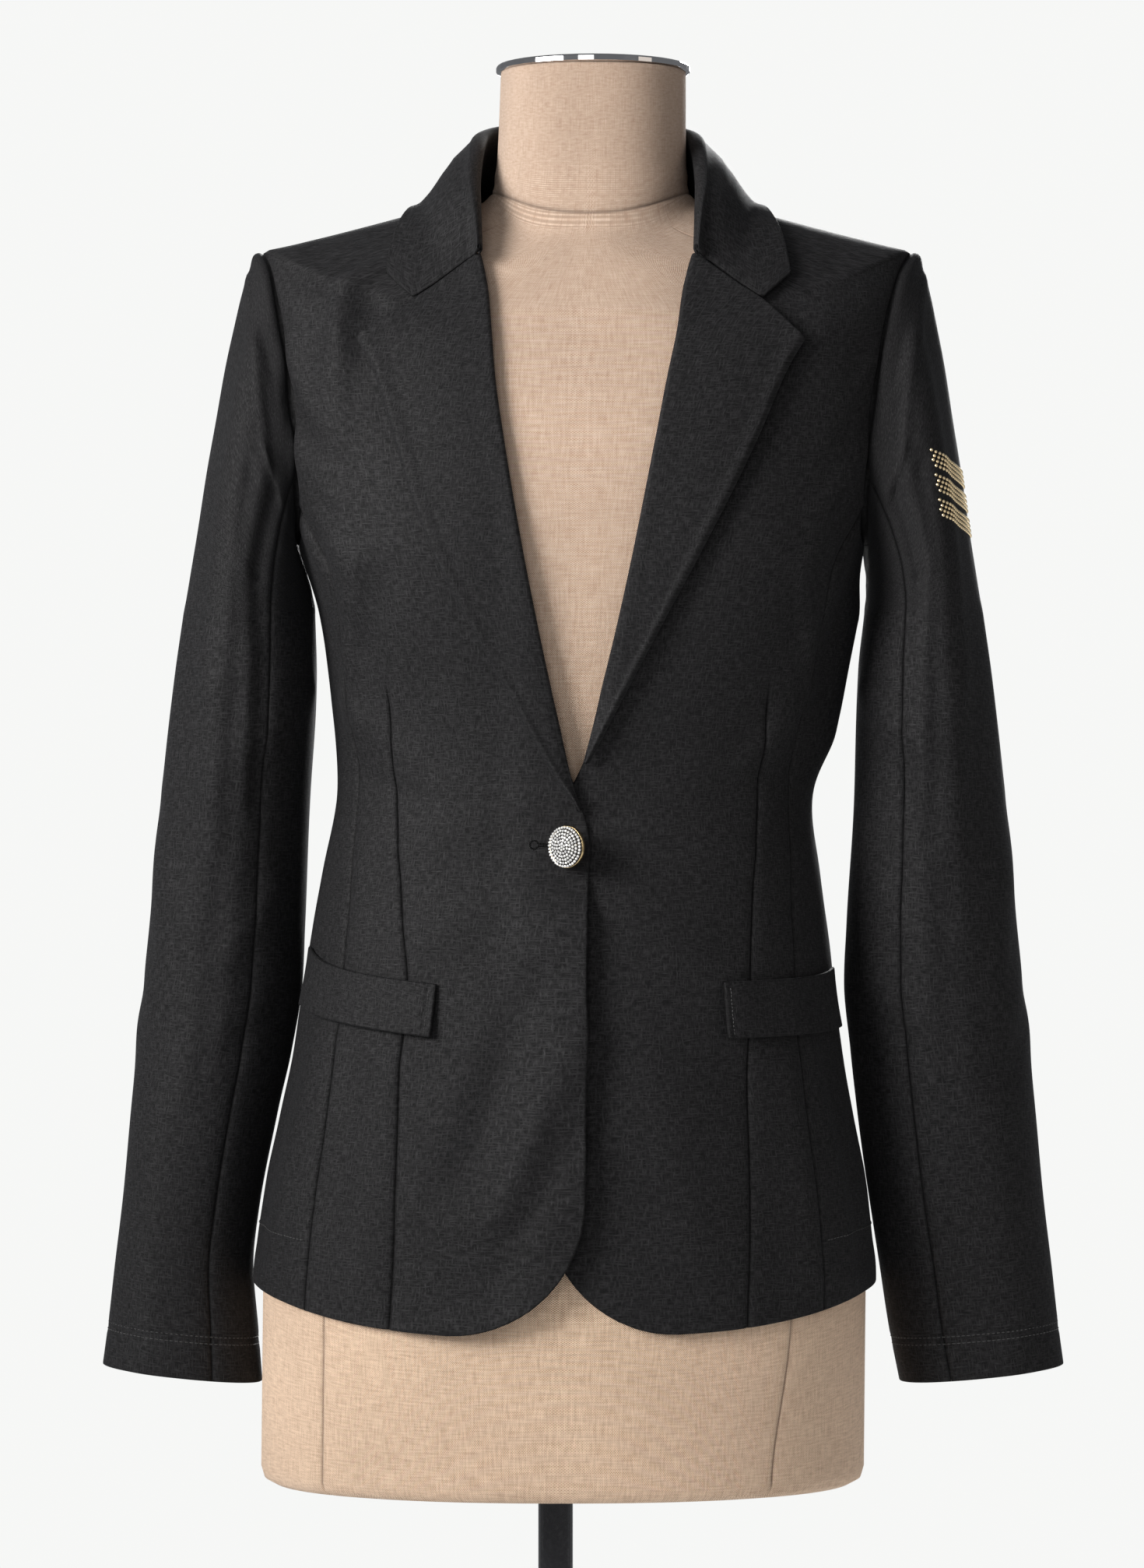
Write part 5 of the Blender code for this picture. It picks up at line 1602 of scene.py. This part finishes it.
def make_button(name, finish, bed):
    """Make the button's gilt cup, rim and shank, with a near-black bed under the crystals as
    painted shade in the gaps between them.
    """
    middle, outward, across, up = button_frame()
    corner = SHANK_RADIUS * math.sin(BUTTON_TURN)
    reach = (BUTTON_STAND_OFF - LAY_GAP - corner) / math.cos(BUTTON_TURN)
    profile = [(0.0006, -reach), (SHANK_RADIUS, -reach), (SHANK_RADIUS, -CUP_DEPTH - 0.0004)]
    profile.append((SHANK_RADIUS * 1.4, -CUP_DEPTH))
    for share, height in (
        (0.80, -CUP_DEPTH * 0.75),
        (0.91, -CUP_DEPTH * 0.4),
        (0.965, 0.0002),
        (0.965, BUTTON_RIM * 0.62),
        (0.955, BUTTON_RIM * 0.72),
        (0.94, BUTTON_RIM * 0.74),
        (0.92, BUTTON_RIM * 0.60),
    ):
        profile.append((BUTTON_RADIUS * share, height))
    for share in (0.86, 0.7, 0.5, 0.3, 0.1):
        rise = BUTTON_DOME * 0.80 * math.sqrt(1.0 - share**2)
        profile.append((BUTTON_RADIUS * share, BUTTON_RIM * 0.5 + rise))
    angles = np.linspace(0.0, 2.0 * math.pi, 65)[:-1]
    rings = []
    for radius, height in profile:
        ring = across * np.cos(angles)[:, None] * radius + up * np.sin(angles)[:, None] * radius
        rings.append(middle + ring + outward * height)
    rings = np.array(rings)
    made = solid_rings(name, rings, np.zeros(rings.shape[:2] + (2,)), finish)
    # The bed's near-black faces, seen between the stones, are painted shade
    made.data.materials.append(bed)
    for face in made.data.polygons:
        if face.index >= (len(profile) - 6) * len(angles):
            face.material_index = 1
    return made


def make_stones(name, finish):
    """Make the button's pave: small cut stones in rings over the dome."""
    middle, outward, across, up = button_frame()
    stones = []
    count = 0
    for ring, radius in enumerate(np.linspace(0.0, STONE_REACH * 0.925, 7)):
        total = max(int(2.0 * math.pi * radius / STONE_PITCH), 1)
        share = radius / STONE_REACH
        height = BUTTON_RIM * 0.78 + BUTTON_DOME * 0.92 * math.sqrt(1.0 - share**2)
        for index in range(total):
            angle = 2.0 * math.pi * index / total + 0.4 * ring
            out = across * math.cos(angle) + up * math.sin(angle)
            place = middle + out * radius + outward * height
            count += 1
            lean = np.array([math.sin(5.1 * count), 0.0, math.cos(3.7 * count)])
            tilt = unit(unit(outward + out * share * 0.62) + 0.26 * lean)
            size = STONE_RADIUS, STONE_RADIUS, 8, STONE_ROWS, 0.7 * count
            stones.append(dome(place - tilt * 0.0003, tilt, *size))
    return joined(name, stones, finish)


def stitch_parts(points, normals, length=STITCH_LENGTH, radius=STITCH_RADIUS):
    """Raised stitches along a line, one for each step, as points and faces."""
    along = lengths(points)
    faces = [[3, 2, 1, 0], [8, 9, 10, 11]] + ring_faces(3, 4).tolist()
    parts = []
    for index in range(int(along[-1] / length)):
        ends = (index + np.array([0.12, 0.5, 0.88])) * length
        line = np.stack([np.interp(ends, along, points[:, axis]) for axis in range(3)], axis=-1)
        facing = unit(np.array([np.interp(ends[1], along, normals[:, axis]) for axis in range(3)]))
        run = unit(line[2] - line[0])
        aside = np.cross(facing, run)
        ring = [aside, facing * 0.9, -aside, -facing * 0.4]
        rings = []
        for middle, share, rise in zip(line, (0.45, 1.0, 0.45), (-0.2, 0.35, -0.2)):
            rings.append([middle + side * radius * share + facing * radius * rise for side in ring])
        parts.append((np.array(rings).reshape(-1, 3), faces))
    return parts


def body_stitches(turn, level, lift, *size):
    """Stitches along a line on the body's cloth."""
    normal = torso_normal(turn, level)
    height = drape(turn, level) + lift + STITCH_LIFT
    return stitch_parts(torso(turn, level) + normal * height[:, None], normal, *size)


def make_cuff_stitches(name, side, finish):
    """Make the two rows of stitches round a cuff."""
    parts = []
    angles = np.radians(np.linspace(0.0, 360.0, 241))
    for rise in CUFF_ROWS:
        run = np.full(len(angles), 2.0 - rise / (BICEP_HEIGHT - CUFF_HEIGHT))
        normal = sleeve_normal(side, angles, run)
        line = sleeve(side, angles, run) + normal * (sleeve_drape(angles, run) - 0.00025)[:, None]
        parts += stitch_parts(line, normal)
    return joined(name, parts, finish)


def make_pocket_stitches(name, row, finish):
    """Make the stitches near the end of a pocket flap."""
    up = np.linspace(0.06, 0.94, 30)
    across = np.full(len(up), FLAP_STITCHES / FLAP_LENGTH)
    line, normal = pocket_surface(row, across, up)
    parts = stitch_parts(line + normal * STITCH_LIFT, normal, 0.0021, 0.00028)
    return joined(name, parts, finish)


def make_buttonhole(name, finish):
    """Make the keyhole buttonhole's close stitches beside the button."""
    turns = np.linspace(0.3, 2.0 * math.pi - 0.3, 33)
    lines = [(-0.0117 + 0.0023 * np.cos(turns), BUTTONHOLE_LEVEL + 0.0025 * np.sin(turns))]
    xs = np.linspace(-0.0096, 0.0040, 25)
    lines += [(xs, np.full(len(xs), BUTTONHOLE_LEVEL + rise)) for rise in (0.00065, -0.00065)]
    parts = []
    for x, level in lines:
        turn = turn_at(x, level)
        lift = overlap_lift(torso(turn, level)[..., 0])
        parts += body_stitches(turn, level, lift, 0.0009, 0.00055)
    return joined(name, parts, finish)


def make_hem_stitches(name, side, finish):
    """Make the row of stitches along a side panel's hem."""
    turn = side * np.radians(np.linspace(54.0, 126.0, 121))
    return joined(name, body_stitches(turn, np.full(len(turn), HEM_ROW_LEVEL), 0.0), finish)


def make_lights():
    """Soft light from the viewer's left, a weak one from the right, and a pale surround."""
    for name, place, aim, size, spread, power, colour in LIGHTS:
        light = bpy.data.lights.new(name, "AREA")
        light.size = size
        light.spread = math.radians(spread)
        light.energy = power
        light.color = colour
        lamp = bpy.data.objects.new(name, light)
        lamp.location = place
        lamp.rotation_euler = (Vector(aim) - Vector(place)).to_track_quat("-Z", "Y").to_euler()
        bpy.context.scene.collection.objects.link(lamp)
    world = bpy.data.worlds.new("studio")
    bpy.context.scene.world = world
    world.use_nodes = True
    nodes, links = world.node_tree.nodes, world.node_tree.links
    shown = nodes["Background"]
    shown.inputs["Color"].default_value = (0.925, 0.930, 0.920, 1.0)
    shown.inputs["Strength"].default_value = 1.0
    soft = nodes.new("ShaderNodeBackground")
    soft.inputs["Color"].default_value = (0.94, 0.96, 1.0, 1.0)
    soft.inputs["Strength"].default_value = 0.21
    path = nodes.new("ShaderNodeLightPath")
    mix = nodes.new("ShaderNodeMixShader")
    links.new(path.outputs["Is Camera Ray"], mix.inputs[0])
    links.new(soft.outputs[0], mix.inputs[1])
    links.new(shown.outputs[0], mix.inputs[2])
    links.new(mix.outputs[0], nodes["World Output"].inputs["Surface"])
    bpy.context.scene.view_settings.view_transform = "Standard"


def make_floor(finish):
    """Make a round pale floor under the stand."""
    angles = np.linspace(0.0, 2.0 * math.pi, 97)[:-1]
    ring = np.stack([np.cos(angles), np.sin(angles), np.zeros(len(angles))], axis=-1)
    rings = np.array([ring * radius for radius in (0.02, 0.8, 1.6, 2.3)])
    rings[..., 2] = FLOOR_HEIGHT
    faces = ring_faces(*rings.shape[:2])[:, [0, 3, 2, 1]].tolist()
    faces.append(list(range(len(angles))))
    floor = joined("floor", [(rings.reshape(-1, 3), faces)], finish)


def dress(piece, nodes):
    """Let a piece ride on the object in the place of its nodes."""
    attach(piece, "root")
    if nodes:
        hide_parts(*nodes)


def give(node, finish):
    """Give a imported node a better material."""
    for holder in bpy.data.objects[node].material_slots:
        holder.material = finish


def build():
    """Make the camera, the pieces, the floor and the lights."""
    make_camera()
    suiting, linen, lacquer = suiting_material(), linen_material(), lacquer_material()
    thread = thread_material("charcoal_thread", 0.025, 0.075)
    black_thread = thread_material("black_thread", 0.0015, 0.004)
    gilt = metal_material("gilt_metal", (0.86, 0.66, 0.36), 0.16, 0.14)
    pale_gold = metal_material("pale_gold", (1.0, 0.82, 0.52), 0.24, 0.12)
    # Near-black metal under the button's stones: painted shade in the gaps between them
    bed = metal_material("blackened_metal", (0.05, 0.045, 0.04), 0.45, 0.2)
    chrome = metal_material("chrome_metal", (0.62, 0.62, 0.63), 0.05, 0.10)

    sheets = []
    halves = (-SLEEVE_SEAM_TURN, SLEEVE_SEAM_TURN, 360.0 - SLEEVE_SEAM_TURN)
    for side, wearer in WEARER.items():
        for kind, make, turns in (
            ("front", make_front, ()),
            ("side", make_side, ()),
            ("back", make_back, ()),
            ("top_sleeve", make_sleeve_half, halves[:2]),
            ("under_sleeve", make_sleeve_half, halves[1:]),
            ("lapel", make_lapel, ()),
        ):
            node = kind + "_" + wearer
            sheets.append(make(node + "_cloth", side, *turns, suiting))
            dress(sheets[-1], [node])
    sheets.append(make_collar("collar_cloth", suiting))
    dress(sheets[-1], ["collar"])
    for row, wearer in enumerate(WEARER.values()):
        node = "pocket_flap_" + wearer
        sheets.append(make_pocket(node + "_cloth", row, suiting))
        dress(sheets[-1], [node])
        dress(make_pocket_stitches("pocket_stitches_" + wearer, row, thread), [])
    for side, wearer in WEARER.items():
        dress(make_cuff_stitches("cuff_stitches_" + wearer, side, thread), [])
        dress(make_hem_stitches("hem_stitches_" + wearer, side, thread), [])
    dress(make_buttonhole("buttonhole", black_thread), [])
    dress(make_button("button_cup", gilt, bed), ["button"])
    dress(make_stones("button_stones", crystal_material()), [])
    dress(make_studs("sleeve_studs", 1, pale_gold), [])
    dress(make_form("dress_form_linen", linen), ["dress_form"])
    give("neck_cap", chrome)
    give("pole", lacquer)
    give("base", lacquer)
    for piece in sheets:
        kind = piece.name.replace("_cloth", "").replace("_right", "").replace("_left", "")
    make_floor(floor_material())
    make_lights()


build()
